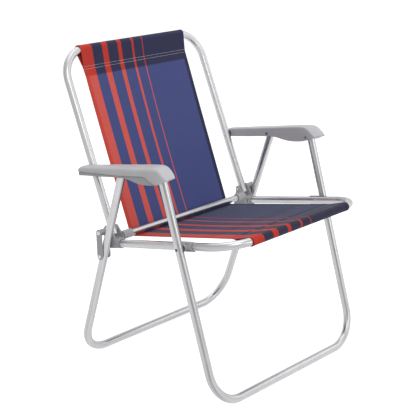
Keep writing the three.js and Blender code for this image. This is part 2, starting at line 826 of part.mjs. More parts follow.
for (const [hand, side] of [
  ["left", -1],
  ["right", 1],
]) {
  const backInner = (z) => backX(z) - tubeRadius - slip;
  const linkOuterFace = linkOuterX + linkOuterThickness + slip;
  const armFrontLegInner = legX(pivots.armFront[1]) - tubeRadius;
  const linkLegX = legX(pivots.link[1]);

  add(`hinge_bracket_${hand}`, hingeBracket(side), hingePlastic());
  add(`link_${hand}`, link(side), hingePlastic());
  add(`armrest_${hand}`, armrest(side), armPlastic());
  add(`leg_spacer_${hand}`, legSpacer(side), hingePlastic());
  add(
    `leg_washer_${hand}`,
    ring(
      side,
      spacerFaceX + slip,
      spacerFaceX + slip + washerThickness,
      pivots.seatLeg,
      washerRadius,
    ),
    washerPlastic(),
  );
  add(
    `arm_washer_${hand}`,
    ring(
      side,
      armInnerX - slip - armWasherThickness,
      armInnerX - slip,
      pivots.armBack,
      washerRadius,
    ),
    washerPlastic(),
  );
  add(
    `hinge_axle_${hand}`,
    rivet(side, finX, linkOuterFace, pivots.hinge, ["to"], axleHeadRadius),
    rivetMetal(),
  );
  add(
    `seat_leg_rivet_${hand}`,
    rivet(
      side,
      seatHalfWidth - tubeRadius - slip,
      legHalfWidth + tubeRadius + slip,
      pivots.seatLeg,
      ["from", "to"],
    ),
    rivetMetal(),
  );
  add(
    `arm_back_rivet_${hand}`,
    rivet(
      side,
      backInner(armBackHeight),
      armInnerX + armWall + slip,
      pivots.armBack,
      ["from", "to"],
    ),
    rivetMetal(),
  );
  add(
    `arm_rear_leg_rivet_${hand}`,
    rivet(side, armInnerX - slip, rearLegRivetEnd, pivots.armRear, ["from"]),
    rivetMetal(),
  );
  add(
    `arm_front_leg_rivet_${hand}`,
    rivet(side, armInnerX - slip, armFrontLegInner - slip, pivots.armFront, ["from"]),
    rivetMetal(),
  );
  add(
    `link_outer_rivet_${hand}`,
    rivet(side, linkOuterFace, linkLegX + tubeRadius + linkPinLength, pivots.link, ["from"]),
    rivetMetal(),
  );
  add(
    `link_inner_rivet_${hand}`,
    rivet(
      side,
      linkInnerX - slip,
      linkLegX - tubeRadius - linkPinLength,
      pivots.link,
      ["from"],
    ),
    rivetMetal(),
  );
  add(
    `bracket_rivet_${hand}`,
    rivet(
      side,
      seatHalfWidth - tubeRadius - 2 * slip - bracketSleeveWall,
      seatHalfWidth - tubeRadius + tubeWall + slip,
      bracketRivetPlace,
      ["from"],
    ),
    rivetMetal(),
  );
}

export default chair;
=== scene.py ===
"""Folding lawn chair: the finished look of the chair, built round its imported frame. Metres, Z up."""

import json
import math

import bmesh
import bpy
import numpy as np
from bpy.props import FloatProperty, FloatVectorProperty, IntProperty, PointerProperty
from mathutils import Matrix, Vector


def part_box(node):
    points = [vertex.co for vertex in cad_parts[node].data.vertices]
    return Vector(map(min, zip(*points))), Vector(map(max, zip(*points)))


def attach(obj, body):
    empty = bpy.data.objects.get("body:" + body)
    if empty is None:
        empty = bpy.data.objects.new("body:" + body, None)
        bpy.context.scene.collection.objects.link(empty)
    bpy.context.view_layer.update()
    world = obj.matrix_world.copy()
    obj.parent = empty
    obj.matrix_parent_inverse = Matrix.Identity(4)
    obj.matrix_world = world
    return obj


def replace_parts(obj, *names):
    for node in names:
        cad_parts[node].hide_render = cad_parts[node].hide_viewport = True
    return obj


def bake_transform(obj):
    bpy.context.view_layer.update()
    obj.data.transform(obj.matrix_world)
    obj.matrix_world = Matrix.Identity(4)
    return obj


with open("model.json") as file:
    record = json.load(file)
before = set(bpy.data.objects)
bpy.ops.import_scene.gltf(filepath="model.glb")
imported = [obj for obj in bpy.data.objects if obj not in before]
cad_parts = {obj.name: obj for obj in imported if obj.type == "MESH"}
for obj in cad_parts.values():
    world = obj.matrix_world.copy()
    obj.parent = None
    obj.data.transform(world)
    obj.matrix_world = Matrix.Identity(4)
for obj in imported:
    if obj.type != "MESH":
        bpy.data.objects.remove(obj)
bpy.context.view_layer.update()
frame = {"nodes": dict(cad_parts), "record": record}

bl_info = {
    "name": "Folding Lawn Chair",
    "version": (1, 0, 0),
    "blender": (4, 5, 0),
    "location": "View3D > Sidebar > Lawn Chair",
    "description": "Builds a folding lawn chair with a striped sling",
    "category": "Add Mesh",
}

RECORD = frame["record"]
BODY_OF = {node: body for body, nodes in RECORD["behaviour"]["bodies"].items() for node in nodes}
SLOT_OF = {part["node"]: part["material_slot"] for part in RECORD["subparts"]}
PIVOTS = {joint["name"]: joint["pos_m"][1:] for joint in RECORD["behaviour"]["joints"]}
HINGE = PIVOTS["back_fold"]
SEAT_LEG = PIVOTS["front_leg_fold"]
ARM_BACK = PIVOTS["left_arm_fold"]
ARM_REAR_LEG = PIVOTS["rear_leg_fold"]
HANDS = (("left", -1), ("right", 1))
MM = 0.001
QUARTER = math.pi / 2


def middle(node):
    """The middle of a node's box in the side view, as (y, z)."""
    low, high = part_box(node)
    return [(low.y + high.y) / 2, (low.z + high.z) / 2]


ARM_FRONT_LEG = middle("arm_front_leg_rivet_right")


def srgb(hex_colour):
    """A six-digit sRGB hex value as linear red, green, blue and alpha."""
    parts = [int(hex_colour[i : i + 2], 16) / 255 for i in (0, 2, 4)]
    linear = [c / 12.92 if c <= 0.04045 else ((c + 0.055) / 1.055) ** 2.4 for c in parts]
    return (*linear, 1.0)


def length(name, about, default):
    return FloatProperty(name=name, description=about, default=default, unit="LENGTH")


def share(name, about, default):
    return FloatProperty(name=name, description=about, default=default)


def count(name, about, default):
    return IntProperty(name=name, description=about, default=default)


def angle(name, about, degrees):
    value = math.radians(degrees)
    return FloatProperty(name=name, description=about, default=value, unit="ROTATION")


def colour(name, about, hex_colour):
    value = srgb(hex_colour)
    return FloatVectorProperty(name=name, description=about, size=4, subtype="COLOR", default=value)


class ChairTubeSettings(bpy.types.PropertyGroup):
    diameter: length("Diameter", "Outside of the frame tubes", 0.01905)
    wall: length("Wall", "Thickness of the tubes' walls", 0.0012)
    cross_diameter: length("Cross tube", "Outside of the tube between the hinges", 0.0159)
    seat_front: length("Seat front", "Height of the seat's front bar", 0.3878)
    back_top: length("Back top", "Height of the back's top bar", 0.7472)
    seat_depth: length("Seat depth", "Front bar to hinge axle", 0.3795)
    seat_half_width: length("Half width", "Axis of a seat tube from the middle", 0.23925)
    back_inset: length("Back inset", "Back tubes inside the seat tubes", 0.00225)
    back_taper: length("Back taper", "How much the back draws in at its top", 0.0027)
    leg_gap: length("Leg gap", "Between the seat tube and the front leg", 0.0072)
    leg_splay: share("Leg splay", "Sideways run for each unit of height", 0.0143)
    rear_leg_ahead: length("Rear leg", "Rear leg's axis ahead of the hinge axle", 0.0211)
    hinge_setback: length("Hinge setback", "Axle behind the back tube's axis", 0.0028)
    cross_ahead: length("Cross tube ahead", "Ahead of the hinge axle", 0.019)
    cross_above: length("Cross tube above", "Above the seat tubes' plane", 0.015)
    seat_rake: angle("Seat rake", "Fall of the seat to its back", 11.03)
    back_lean: angle("Back lean", "From upright", 22.64)
    front_lean: angle("Front leg lean", "From upright", 17.12)
    rear_lean: angle("Rear leg lean", "From upright", 18.42)
    seat_bend: length("Seat bend", "Bend radius of the seat tube", 0.076)
    back_bend: length("Back bend", "Bend radius of the back tube", 0.072)
    leg_bend: length("Leg bend", "Bend radius of the leg tubes", 0.08)
    back_tail: length("Back tail", "Back tube beyond the hinge axle", 0.012)
    front_tail: length("Front leg tail", "Tube beyond its top pivot", 0.009)
    rear_tail: length("Rear leg tail", "Tube beyond its top pivot", 0.007)
    sides: count("Sides", "Facets round a tube", 48)
    bend_steps: count("Bend steps", "Rings in a bend", 24)
    # the front legs' dark bands are a painted dark reflection
    band_angle: angle("Band angle", "Of the front legs' dark bands from straight ahead", 45)
    band_width: share("Band width", "Spread of those bands round the tube", 0.028)
    metal: colour("Aluminium", "Colour of the satin tube", "BFBFC1")


class ChairSlingSettings(bpy.types.PropertyGroup):
    thickness: length("Thickness", "Of one layer of the cloth", 0.0007)
    hem: length("Hem", "Width of the doubled side edges", 0.012)
    hem_step: length("Hem step", "Extra thickness of a side hem", 0.0005)
    seam: length("Seam", "From a bar's axis to the seam that closes its sleeve", 0.045)
    tail: length("Tail", "From a bar's axis to the end of the rear layer", 0.065)
    ease: length("Ease", "Between a bar and the cloth round it", 0.0002)
    behind_hinge: length("Behind hinge", "Cloth behind the hinge axle", 0.0081)
    turn_radius: length("Turn", "Radius of the turn under the cross tube", 0.018)
    above_rear: length("Above rear", "Cloth above the seat tubes' plane, behind", 0.0025)
    above_front: length("Above front", "Cloth above that plane at the front seam", 0.005)
    slack: length("Slack", "How far the middle of a panel hangs", 0.0035)
    thread_spacing: length("Thread spacing", "Of the weave, as it is drawn", 0.0012)
    # the plain colours hold painted light coming through the cloth from behind; the shaded ones hold
    # painted shade, where none comes through
    navy: colour("Navy", "With light behind it", "454E82")
    shaded_navy: colour("Deep navy", "Where no light comes through", "27273F")
    red: colour("Red", "With light behind it", "D85B4E")
    shaded_red: colour("Deep red", "Where no light comes through", "C22E1C")


class ChairStitchSettings(bpy.types.PropertyGroup):
    pitch: length("Pitch", "From stitch to stitch", 0.0036)
    stitch: length("Stitch", "Length of a stitch", 0.0044)
    thread: length("Thread", "Radius of the thread", 0.00055)
    rows_apart: length("Rows apart", "Between the two rows of a seam", 0.0068)
    first_row: length("First row", "How far it lies past the seam, on the panel", 0.0042)
    seed: count("Seed", "Of the stitches' slight unevenness", 7)
    yarn: colour("Yarn", "Colour of the sewing thread", "DEDDE2")


class ChairArmrestSettings(bpy.types.PropertyGroup):
    tail: length("Tail", "Armrest behind its rear pivot", 0.013)
    nose: length("Nose", "Armrest ahead of its front pivot", 0.0237)
    depth: length("Depth", "Full depth of the moulding", 0.041)
    pivot_depth: length("Pivot depth", "Rear pivot below the top", 0.0123)
    rise: angle("Rise", "The top climbs to the front", 10.08)
    rear_width: length("Rear width", "Across the rear end", 0.0315)
    front_width: length("Front width", "Across the front end", 0.0435)
    sweep: length("Sweep", "The outer side ahead of the inner", 0.008)
    inner_edge: length("Inner edge", "Rounding of the inner top edge", 0.004)
    outer_edge: length("Outer edge", "Rounding of the outer top edge", 0.0095)
    crown: length("Crown", "How far the middle of the top stands up", 0.0006)
    wall: length("Wall", "Thickness of the skirt", 0.0026)
    roof: length("Roof", "Thickness of the top", 0.0032)
    lip: length("Lip", "Least height of the outer side above its lip", 0.0008)
    lip_round: length("Lip round", "Rounding of the lip's edge", 0.0007)
    lip_step: length("Lip step", "The skirt inside the lip above it", 0.0025)
    groove: length("Groove", "Depth of the groove under the lip", 0.0012)
    boss: length("Boss", "Radius of the pivot bosses", 0.0065)
    tail_opening: length("Tail opening", "Clear height under the rear wall", 0.009)
    play: length("Play", "Between a leg and its bosses", 0.0006)
    plastic: colour("Plastic", "Colour of the armrests", "B6B5B9")
    # the skirt's colour is the plastic with painted shade under the lip; its face is also rougher
    shaded_skirt_plastic: colour("Skirt", "Colour of the outer skirt's rougher face", "A3A2A6")


class ChairMouldingSettings(bpy.types.PropertyGroup):
    edge: length("Edge", "Rounding of the mouldings' edges", 0.0005)
    fine_edge: length("Fine edge", "Rounding of the washers' edges", 0.0002)
    plastic: colour("Plastic", "Colour of brackets, links and spacers", "A0A1A4")
    washer: colour("Washer", "Colour of the washers", "5C5D61")


class ChairRivetSettings(bpy.types.PropertyGroup):
    shank: length("Shank", "Radius of a rivet's shank", 0.0025)
    head: length("Head", "Radius of a rivet's head", 0.0046)
    axle_head: length("Axle head", "Radius of the hinge axle's head", 0.0052)
    height: length("Height", "How far a head stands out", 0.0017)
    sides: count("Sides", "Facets round a rivet", 28)
    metal: colour("Metal", "Colour of the rivets", "D2D2D4")
    # the dark metal is painted shade, for rivets at pivots that sit in shadow
    shaded_metal: colour("Dark metal", "Colour of the shaded pivots' rivets", "4A4B50")


class ChairStageSettings(bpy.types.PropertyGroup):
    floor_size: length("Floor", "Side of the floor", 40.0)
    azimuth: angle("Azimuth", "Of the camera, from straight ahead toward the right", -48.072)
    elevation: angle("Elevation", "Of the camera above the horizon", 17.266)
    distance: length("Distance", "From the camera to what it looks at", 2.7373)
    lens: FloatProperty(name="Lens", description="Focal length", default=95.516, unit="CAMERA")
    floor: colour("Floor", "Colour of the floor", "D2D2D2")


SETTINGS = {
    "chair_tubes": ChairTubeSettings,
    "chair_sling": ChairSlingSettings,
    "chair_stitches": ChairStitchSettings,
    "chair_armrests": ChairArmrestSettings,
    "chair_mouldings": ChairMouldingSettings,
    "chair_rivets": ChairRivetSettings,
    "chair_stage": ChairStageSettings,
}


def in_scene(name, data):
    """A new object in the scene, at the origin."""
    thing = bpy.data.objects.new(name, data)
    bpy.context.scene.collection.objects.link(thing)
    return thing


def new_piece(name, mesh, body):
    """An object in the scene that rides on a body, when it is given one."""
    piece = in_scene(name, mesh)
    if body:
        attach(piece, body)
    return piece


def replace_node(node, name, mesh):
    """Puts a finished mesh in the place of one CAD node."""
    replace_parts(new_piece(name, mesh, BODY_OF[node]), node)


def set_numbers(mesh, attributes):
    """Gives a mesh's points their named numbers."""
    for title, numbers in attributes.items():
        mesh.attributes.new(title, "FLOAT", "POINT").data.foreach_set("value", numbers)


def faces_of(grid):
    """Four-sided faces between the neighbours in a grid of point numbers."""
    corners = (grid[:-1, :-1], grid[:-1, 1:], grid[1:, 1:], grid[1:, :-1])
    return np.stack([corner.ravel() for corner in corners], axis=-1).tolist()


def closed_mesh(name, points, faces):
    """A mesh from points and faces, with its faces turned outwards."""
    mesh = bpy.data.meshes.new(name)
    mesh.from_pydata(points, [], faces)
    built = bmesh.new()
    built.from_mesh(mesh)
    bmesh.ops.recalc_face_normals(built, faces=built.faces)
    built.to_mesh(mesh)
    built.free()
    return mesh


def after_modifiers(name, helper, *others):
    """The plain mesh that a helper's modifiers make. The helper and the others go."""
    depsgraph = bpy.context.evaluated_depsgraph_get()
    mesh = bpy.data.meshes.new_from_object(helper.evaluated_get(depsgraph))
    helper.modifiers.clear()
    for each in (helper, *others):
        bpy.data.objects.remove(each)
    mesh.name = name
    return mesh


def set_smooth(mesh, limit=35):
    mesh.shade_smooth()
    mesh.set_sharp_from_angle(angle=math.radians(limit))


def set_material(mesh, material):
    mesh.materials.clear()
    mesh.materials.append(material)


def wire(tree, node, values):
    """Sets a node's inputs to plain values, or links them from sockets or nodes' first outputs."""
    for key, value in values.items():
        source = value.outputs[0] if isinstance(value, bpy.types.Node) else value
        if isinstance(source, bpy.types.NodeSocket):
            tree.links.new(source, node.inputs[key])
        else:
            node.inputs[key].default_value = source


def add_node(tree, kind, values=None, **settings):
    """Adds a node with its settings and its inputs."""
    node = tree.nodes.new(kind)
    for key, value in settings.items():
        setattr(node, key, value)
    wire(tree, node, values or {})
    return node


def shade(rgba, factor):
    """A colour made lighter or darker by a factor."""
    return tuple(min(1.0, c * factor) for c in rgba[:3]) + (1.0,)


def new_material(name, even_values):
    """A material whose shader has its even values, and that is ready for its patterns."""
    material = bpy.data.materials.new(name)
    material.use_nodes = True
    tree = material.node_tree
    shader = tree.nodes["Principled BSDF"]
    wire(tree, shader, even_values)
    return material, tree, shader


def marks(tree, source, sizes, detail=2.0, roughness=0.5):
    """Uneven marks of real sizes, in metres along each axis of the coordinates."""
    scale = [1 / size for size in np.broadcast_to(sizes, 3)]
    place = add_node(tree, "ShaderNodeMapping", {"Vector": source, "Scale": scale})
    values = {"Vector": place, "Scale": 1.0, "Detail": detail, "Roughness": roughness}
    return add_node(tree, "ShaderNodeTexNoise", values)


def reach(pattern, low, high, start=0.3, end=0.7):
    """Inputs that turn a pattern's usual reach into another range of values."""
    return {"Value": pattern, "From Min": start, "From Max": end, "To Min": low, "To Max": high}


def tinted(tree, base, tint, pattern, start=0.3, end=0.7, strength=1.0, blend="MIX"):
    """A colour that goes over to a tint where a pattern climbs from start to end."""
    part = add_node(tree, "ShaderNodeMapRange", reach(pattern, 0, strength, start, end))
    values = {0: part, 6: base, 7: tint}
    return add_node(tree, "ShaderNodeMix", values, data_type="RGBA", blend_type=blend).outputs[2]


def dress(tree, shader, tone, rough, height, strength, depth):
    """Gives a shader its uneven colour and roughness and a fine relief."""
    values = {"Height": height, "Strength": strength, "Distance": depth}
    bump = add_node(tree, "ShaderNodeBump", values)
    wire(tree, shader, {"Base Color": tone, "Roughness": rough, "Normal": bump})


def drawn_aluminium(metal):
    """Drawn 6063 aluminium tube, satin anodised: long soft highlights, lines along the draw, a painted
    dark reflection down each side of the front legs, and duller patches from handling."""
    material, tree, shader = new_material("drawn_aluminium", {"Metallic": 1.0})
    drawn = add_node(tree, "ShaderNodeAttribute", attribute_name="drawn").outputs["Vector"]
    band = add_node(tree, "ShaderNodeAttribute", attribute_name="band").outputs["Fac"]
    place = add_node(tree, "ShaderNodeTexCoord").outputs["Object"]
    # draw lines are some 0.1 mm wide; they are drawn 1 mm wide so that they show
    lines = marks(tree, drawn, (0.001, 0.001, 0.12), 3.0)
    streaks = marks(tree, drawn, (0.0055, 0.0055, 0.5))
    patches = marks(tree, place, 0.045, 3.0)
    specks = marks(tree, place, 0.0022, 1.0)
    tone = tinted(tree, shade(metal, 0.92), shade(metal, 1.07), lines)
    tone = tinted(tree, tone, shade(metal, 0.7), streaks, 0.48, 0.68, 0.8)
    # a painted dark reflection down each side of the front legs
    tone = tinted(tree, tone, shade(metal, 0.45), band, 0, 1)
    tone = tinted(tree, tone, shade(metal, 0.86), patches, 0.45, 0.75, 0.45)
    smear = add_node(tree, "ShaderNodeMapRange", reach(patches, -0.02, 0.07))
    gloss = add_node(tree, "ShaderNodeMapRange", reach(lines, 0.25, 0.37))
    rough = add_node(tree, "ShaderNodeMath", {0: gloss, 1: smear}, operation="ADD")
    height = add_node(tree, "ShaderNodeMath", {0: lines, 1: specks}, operation="ADD")
    dress(tree, shader, tone, rough, height, 0.10, 0.00012)
    return material


def moulded_plastic(name, plastic, roughness):
    """Injection-moulded polypropylene: a fine even grain with a low waxy gloss, paler where hands
    and the ground have rubbed it."""
    material, tree, shader = new_material(name, {"IOR": 1.49})
    place = add_node(tree, "ShaderNodeTexCoord").outputs["Object"]
    # the mould's grain is about 0.3 mm; it is drawn at 0.8 mm so that it shows
    grain = marks(tree, place, 0.0008)
    cloud = marks(tree, place, 0.05, 3.0)
    rub = marks(tree, place, (0.012, 0.004, 0.012), 4.0, 0.65)
    tone = tinted(tree, shade(plastic, 0.94), shade(plastic, 1.05), cloud)
    tone = tinted(tree, tone, shade(plastic, 1.25), rub, 0.62, 0.8, 0.35)
    tone = tinted(tree, tone, shade(plastic, 0.85), grain, strength=0.25)
    gloss = reach(rub, roughness + 0.05, roughness - 0.08)
    rough = add_node(tree, "ShaderNodeMapRange", gloss)
    dress(tree, shader, tone, rough, grain, 0.16, 0.0002)
    return material


def pressed_rivet(metal, shaded_metal):
    """Pressed aluminium rivets: satin heads with faint rings from the tool, and painted shade that
    darkens the heads at the pivots that sit in shadow."""
    material, tree, shader = new_material("rivet_aluminium", {"Metallic": 1.0})
    place = add_node(tree, "ShaderNodeTexCoord").outputs["Object"]
    rings = marks(tree, place, 0.0011)
    dark = add_node(tree, "ShaderNodeAttribute", attribute_name="dark").outputs["Fac"]
    tone = tinted(tree, metal, shaded_metal, dark, 0, 1)
    tone = tinted(tree, tone, (0.8, 0.8, 0.82, 1), rings, blend="MULTIPLY")
    rough = add_node(tree, "ShaderNodeMapRange", reach(rings, 0.28, 0.45))
    dress(tree, shader, tone, rough, rings, 0.15, 0.0001)
    return material


# Where the cloth changes colour, across the sling from its left edge; red comes first
STRIPE_EDGES = [e * MM for e in (35, 66.8, 85.2, 117.8, 131, 165.4, 171.6, 201.6, 204)]


def stripes(tree, across, width, red, navy):
    """Hard-edged stripes across the cloth."""
    ramp = add_node(tree, "ShaderNodeValToRGB", {"Fac": across})
    ramp.color_ramp.interpolation = "CONSTANT"
    first, second = ramp.color_ramp.elements
    first.position, first.color = 0.0, red
    second.position, second.color = STRIPE_EDGES[0] / width, navy
    for i, edge in enumerate(STRIPE_EDGES[1:]):
        element = ramp.color_ramp.elements.new(edge / width)
        element.color = red if i % 2 == 0 else navy
    return ramp.outputs["Color"]


def woven_sling(sling, width):
    """Coated polyester canvas, dyed in the yarn: matt with a faint sheen and a plain weave. Its colour
    holds painted light where light would come through it from behind, and painted shade where the
    cloth is double and where no light would come through it."""
    even = {"Sheen Weight": 0.1, "Sheen Roughness": 0.5, "Specular IOR Level": 0.18}
    material, tree, shader = new_material("coated_polyester_canvas", even)
    uv = add_node(tree, "ShaderNodeUVMap", uv_map="cloth")
    parts = add_node(tree, "ShaderNodeSeparateXYZ", {0: uv})
    across = add_node(tree, "ShaderNodeMath", {0: parts, 1: width}, operation="DIVIDE")
    slub = marks(tree, uv, (0.0012, 0.03, 1), 3.0, 0.6)
    # the stripes with painted light through the cloth, and the same stripes in painted shade
    backlit_stripes = stripes(tree, across, width, sling.red, sling.navy)
    shaded_stripes = stripes(tree, across, width, sling.shaded_red, sling.shaded_navy)
    painted_shade = add_node(tree, "ShaderNodeAttribute", attribute_name="shaded").outputs["Fac"]
    tone = tinted(tree, backlit_stripes, shaded_stripes, painted_shade, 0, 1)
    waves = []
    for axis in ("X", "Y"):
        # the yarns are near 0.6 mm apart; they are drawn twice as coarse so that they show
        values = {0: parts.outputs[axis], 1: 2 * math.pi / sling.thread_spacing}
        turn = add_node(tree, "ShaderNodeMath", values, operation="MULTIPLY")
        waves.append(add_node(tree, "ShaderNodeMath", {0: turn}, operation="SINE"))
    values = {0: waves[0], 1: waves[1]}
    weave = add_node(tree, "ShaderNodeMath", values, operation="MULTIPLY")
    # painted shade in the hollows between the yarns
    tone = tinted(tree, tone, (0.02, 0.02, 0.04, 1), weave, -1, 1, 0.2)
    tone = tinted(tree, tone, (0.92, 0.92, 0.98, 1), slub, blend="MULTIPLY")
    height = add_node(tree, "ShaderNodeMath", {0: weave, 1: slub}, operation="ADD")
    rough = add_node(tree, "ShaderNodeMapRange", reach(slub, 0.78, 0.88))
    dress(tree, shader, tone, rough, height, 0.35, 0.00025)
    return material


def twisted_thread(yarn, navy):
    """Bonded polyester sewing thread with a faint twist: pale at the top seam, navy in front."""
    material, tree, shader = new_material("polyester_thread", {})
    place = add_node(tree, "ShaderNodeTexCoord").outputs["Object"]
    twist = marks(tree, place, 0.0009)
    heft = add_node(tree, "ShaderNodeAttribute", attribute_name="heft").outputs["Fac"]
    tone = tinted(tree, shade(yarn, 0.72), shade(yarn, 1.05), twist)
    tone = tinted(tree, navy, tone, heft, 0.55, 0.75)
    rough = add_node(tree, "ShaderNodeMapRange", reach(twist, 0.5, 0.7))
    dress(tree, shader, tone, rough, twist, 0.3, 0.0001)
    return material


class Stance:
    """Centre lines of the chair's frames on its right side. Arrays are (y, z) in the side view."""

    def __init__(self, tubes):
        self.tubes = tubes
        self.radius = tubes.diameter / 2
        self.seat_front_y = HINGE[0] - tubes.seat_depth
        back_run = math.tan(tubes.back_lean) * (tubes.back_top - HINGE[1])
        self.seat_bar = np.array([self.seat_front_y, tubes.seat_front])
        self.back_bar = np.array([HINGE[0] - tubes.hinge_setback + back_run, tubes.back_top])
        self.seat_ahead = np.array([-math.cos(tubes.seat_rake), math.sin(tubes.seat_rake)])
        self.back_up = np.array([math.sin(tubes.back_lean), math.cos(tubes.back_lean)])
        self.back_rear = np.array([self.back_up[1], -self.back_up[0]])

    def seat_z(self, y):
        return self.tubes.seat_front - math.tan(self.tubes.seat_rake) * (y - self.seat_front_y)

    def leg_x(self, z):
        tubes = self.tubes
        half = tubes.seat_half_width + tubes.diameter + tubes.leg_gap
        return half + tubes.leg_splay * (z - SEAT_LEG[1])

    def front_leg(self, z):
        """The leg's axis at a height, as (x, y, z)."""
        run = math.tan(self.tubes.front_lean) * (z - SEAT_LEG[1])
        return self.leg_x(z), SEAT_LEG[0] + run, z

    def rear_leg(self, z):
        """The leg's axis at a height, as (x, y, z)."""
        run = math.tan(self.tubes.rear_lean) * (z - HINGE[1])
        return self.leg_x(z), HINGE[0] - self.tubes.rear_leg_ahead - run, z

    def back_x(self, z):
        climb = (z - HINGE[1]) / (self.tubes.back_top - HINGE[1])
        half = self.tubes.seat_half_width - self.tubes.back_inset
        return half - self.tubes.back_taper * climb


def bent_axis(corners, radius, steps):
    """Points and directions along straight runs joined by round bends."""
    points = [Vector(corner) for corner in corners]
    ways = [(b - a).normalized() for a, b in zip(points, points[1:])]
    line = [(points[0], ways[0])]
    for corner, before, after in zip(points[1:-1], ways, ways[1:]):
        turn = before.angle(after)
        start = corner - before * radius * math.tan(turn / 2)
        inward = (after - before * after.dot(before)).normalized()
        centre = start + inward * radius
        for step in range(steps + 1):
            a = turn * step / steps
            place = centre - inward * radius * math.cos(a) + before * radius * math.sin(a)
            line.append((place, before * math.cos(a) + inward * math.sin(a)))
    line.append((points[-1], ways[-1]))
    return line


def swept_tube(name, corners, radius, tubes, bend=0, bands=()):
    """An open-ended round tube along a bent axis. Its attributes are "drawn", the place in the
    straight tube before it was bent, and a painted dark reflection, high near the given angles of the
    upright runs."""
    line = bent_axis(corners, bend, tubes.bend_steps)
    flat = Vector((0, 0, 1))
    if len(corners) > 2:
        flat = (line[1][0] - line[0][0]).cross(line[-1][0] - line[0][0]).normalized()
    turns = [2 * math.pi * i / tubes.sides for i in range(tubes.sides)]
    points, drawn, band = [], [], []
    for skin_radius in (radius, radius - tubes.wall):
        travel = corners[0][1]
        for i, (place, way) in enumerate(line):
            travel += (place - line[max(i - 1, 0)][0]).length
            side = way.cross(flat).normalized()
            # 1 on the upright runs and 0 on the level bar
            upright = min(max((abs(way.z) - 0.5) / 0.4, 0), 1)
            for a in turns:
                points.append(place + (flat * math.cos(a) + side * math.sin(a)) * skin_radius)
                drawn += (radius * math.cos(a), radius * math.sin(a), travel)
                nearness = (math.cos(a - centre) - 1 for centre in bands)
                band.append(upright * sum(math.exp(n / tubes.band_width) for n in nearness))
    grid = np.arange(len(points)).reshape(2, len(line), tubes.sides)
    grid = np.concatenate([grid, grid[:, :, :1]], axis=2)
    strips = (grid[0], grid[1], grid[:, 0], grid[:, -1])
    mesh = closed_mesh(name, points, [face for strip in strips for face in faces_of(strip)])
    mesh.attributes.new("drawn", "FLOAT_VECTOR", "POINT").data.foreach_set("vector", drawn)
    set_numbers(mesh, {"band": band})
    set_smooth(mesh)
    return mesh


class CHAIR_OT_tubes(bpy.types.Operator):
    """Bends the seat, back and leg tubes and sets the cross tube between the hinges"""

    bl_idname = "chair.build_tubes"
    bl_label = "Build tubes"

    def execute(self, context):
        tubes = context.scene.chair_tubes
        stance = Stance(tubes)
        r, half = stance.radius, tubes.seat_half_width
        setback = stance.back_rear * tubes.hinge_setback * stance.back_up[1]
        foot = np.array(HINGE) - setback - stance.back_up * tubes.back_tail
        front_top = ARM_FRONT_LEG[1] + tubes.front_tail * math.cos(tubes.front_lean)
        rear_top = ARM_REAR_LEG[1] + tubes.rear_tail * math.cos(tubes.rear_lean)
        seat = [(half, HINGE[0], stance.seat_z(HINGE[0])), (half, *stance.seat_bar)]
        back = [(stance.back_x(z), y, z) for y, z in (foot, stance.back_bar)]
        front_leg = [stance.front_leg(z) for z in (front_top, r)]
        rear_leg = [stance.rear_leg(z) for z in (rear_top, r)]
        # where the painted dark reflection runs down the front legs
        bands = (tubes.band_angle, -tubes.band_angle)
        metal = drawn_aluminium(tubes.metal)
        bent = (
            ("seat_frame", seat, tubes.seat_bend, ()),
            ("back_frame", back, tubes.back_bend, ()),
            ("front_leg_frame", front_leg, tubes.leg_bend, bands),
            ("rear_leg_frame", rear_leg, tubes.leg_bend, ()),
        )
        for node, side, bend, dark in bent:
            corners = [(-x, y, z) for x, y, z in side] + side[::-1]
            mesh = swept_tube(f"{node}_tube", corners, r, tubes, bend, dark)
            mesh.materials.append(metal)
            replace_node(node, f"{node}_tube", mesh)
        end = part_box("cross_tube")[1].x
        y = HINGE[0] - tubes.cross_ahead
        z = stance.seat_z(y) + tubes.cross_above
        corners = [(-end, y, z), (end, y, z)]
        mesh = swept_tube("cross_bar", corners, tubes.cross_diameter / 2, tubes)
        mesh.materials.append(metal)
        replace_node("cross_tube", "cross_bar", mesh)
        return {"FINISHED"}


# Armrest from its rear end to its nose. Each row has its share of the length, then three depths
# below the line of the top as shares of the full depth (top, lip of the outer side, bottom), then
# the inset of both sides as a share of the front width.
ARM_STATIONS = np.array([
    (0, 0.16, 0.26, 0.511, 0.08),
    (0.007, 0.085, 0.27, 0.517, 0.03),
    (0.026, 0.015, 0.28, 0.522, 0),
    (0.061, 0, 0.3, 0.522, 0),
    (0.271, 0, 0.37, 0.549, 0),
    (0.462, 0, 0.432, 0.573, 0),
    (0.579, 0, 0.445, 0.637, 0),
    (0.693, 0, 0.45, 0.846, 0),
    (0.773, 0, 0.49, 0.939, 0),
    (0.842, 0.01, 0.78, 0.957, 0),
    (0.908, 0.088, 0.924, 0.924, 0),
    (0.953, 0.315, 0.822, 0.822, 0.01),
    (0.984, 0.556, 0.776, 0.776, 0.05),
    (1, 0.685, 0.759, 0.759, 0.12),
])
ARM_FLARE_END = 0.7  # share of the length where the armrest reaches its full width
ARM_CHANNEL_END = 0.90  # share of the length where the hollow stops, behind the solid nose
ARM_CUT_PAST = 4 * MM  # how far the hollow is cut past the bottom, so that it is open
PEG_SIDES = 32
ARM_END_SHARES = [0.002, 0.005, 0.009, 0.014, 0.02, 0.03, 0.045]  # closer rings at both ends
SKIRT_FACE = -2  # the outer skirt's place among an outline's points, counted from its end


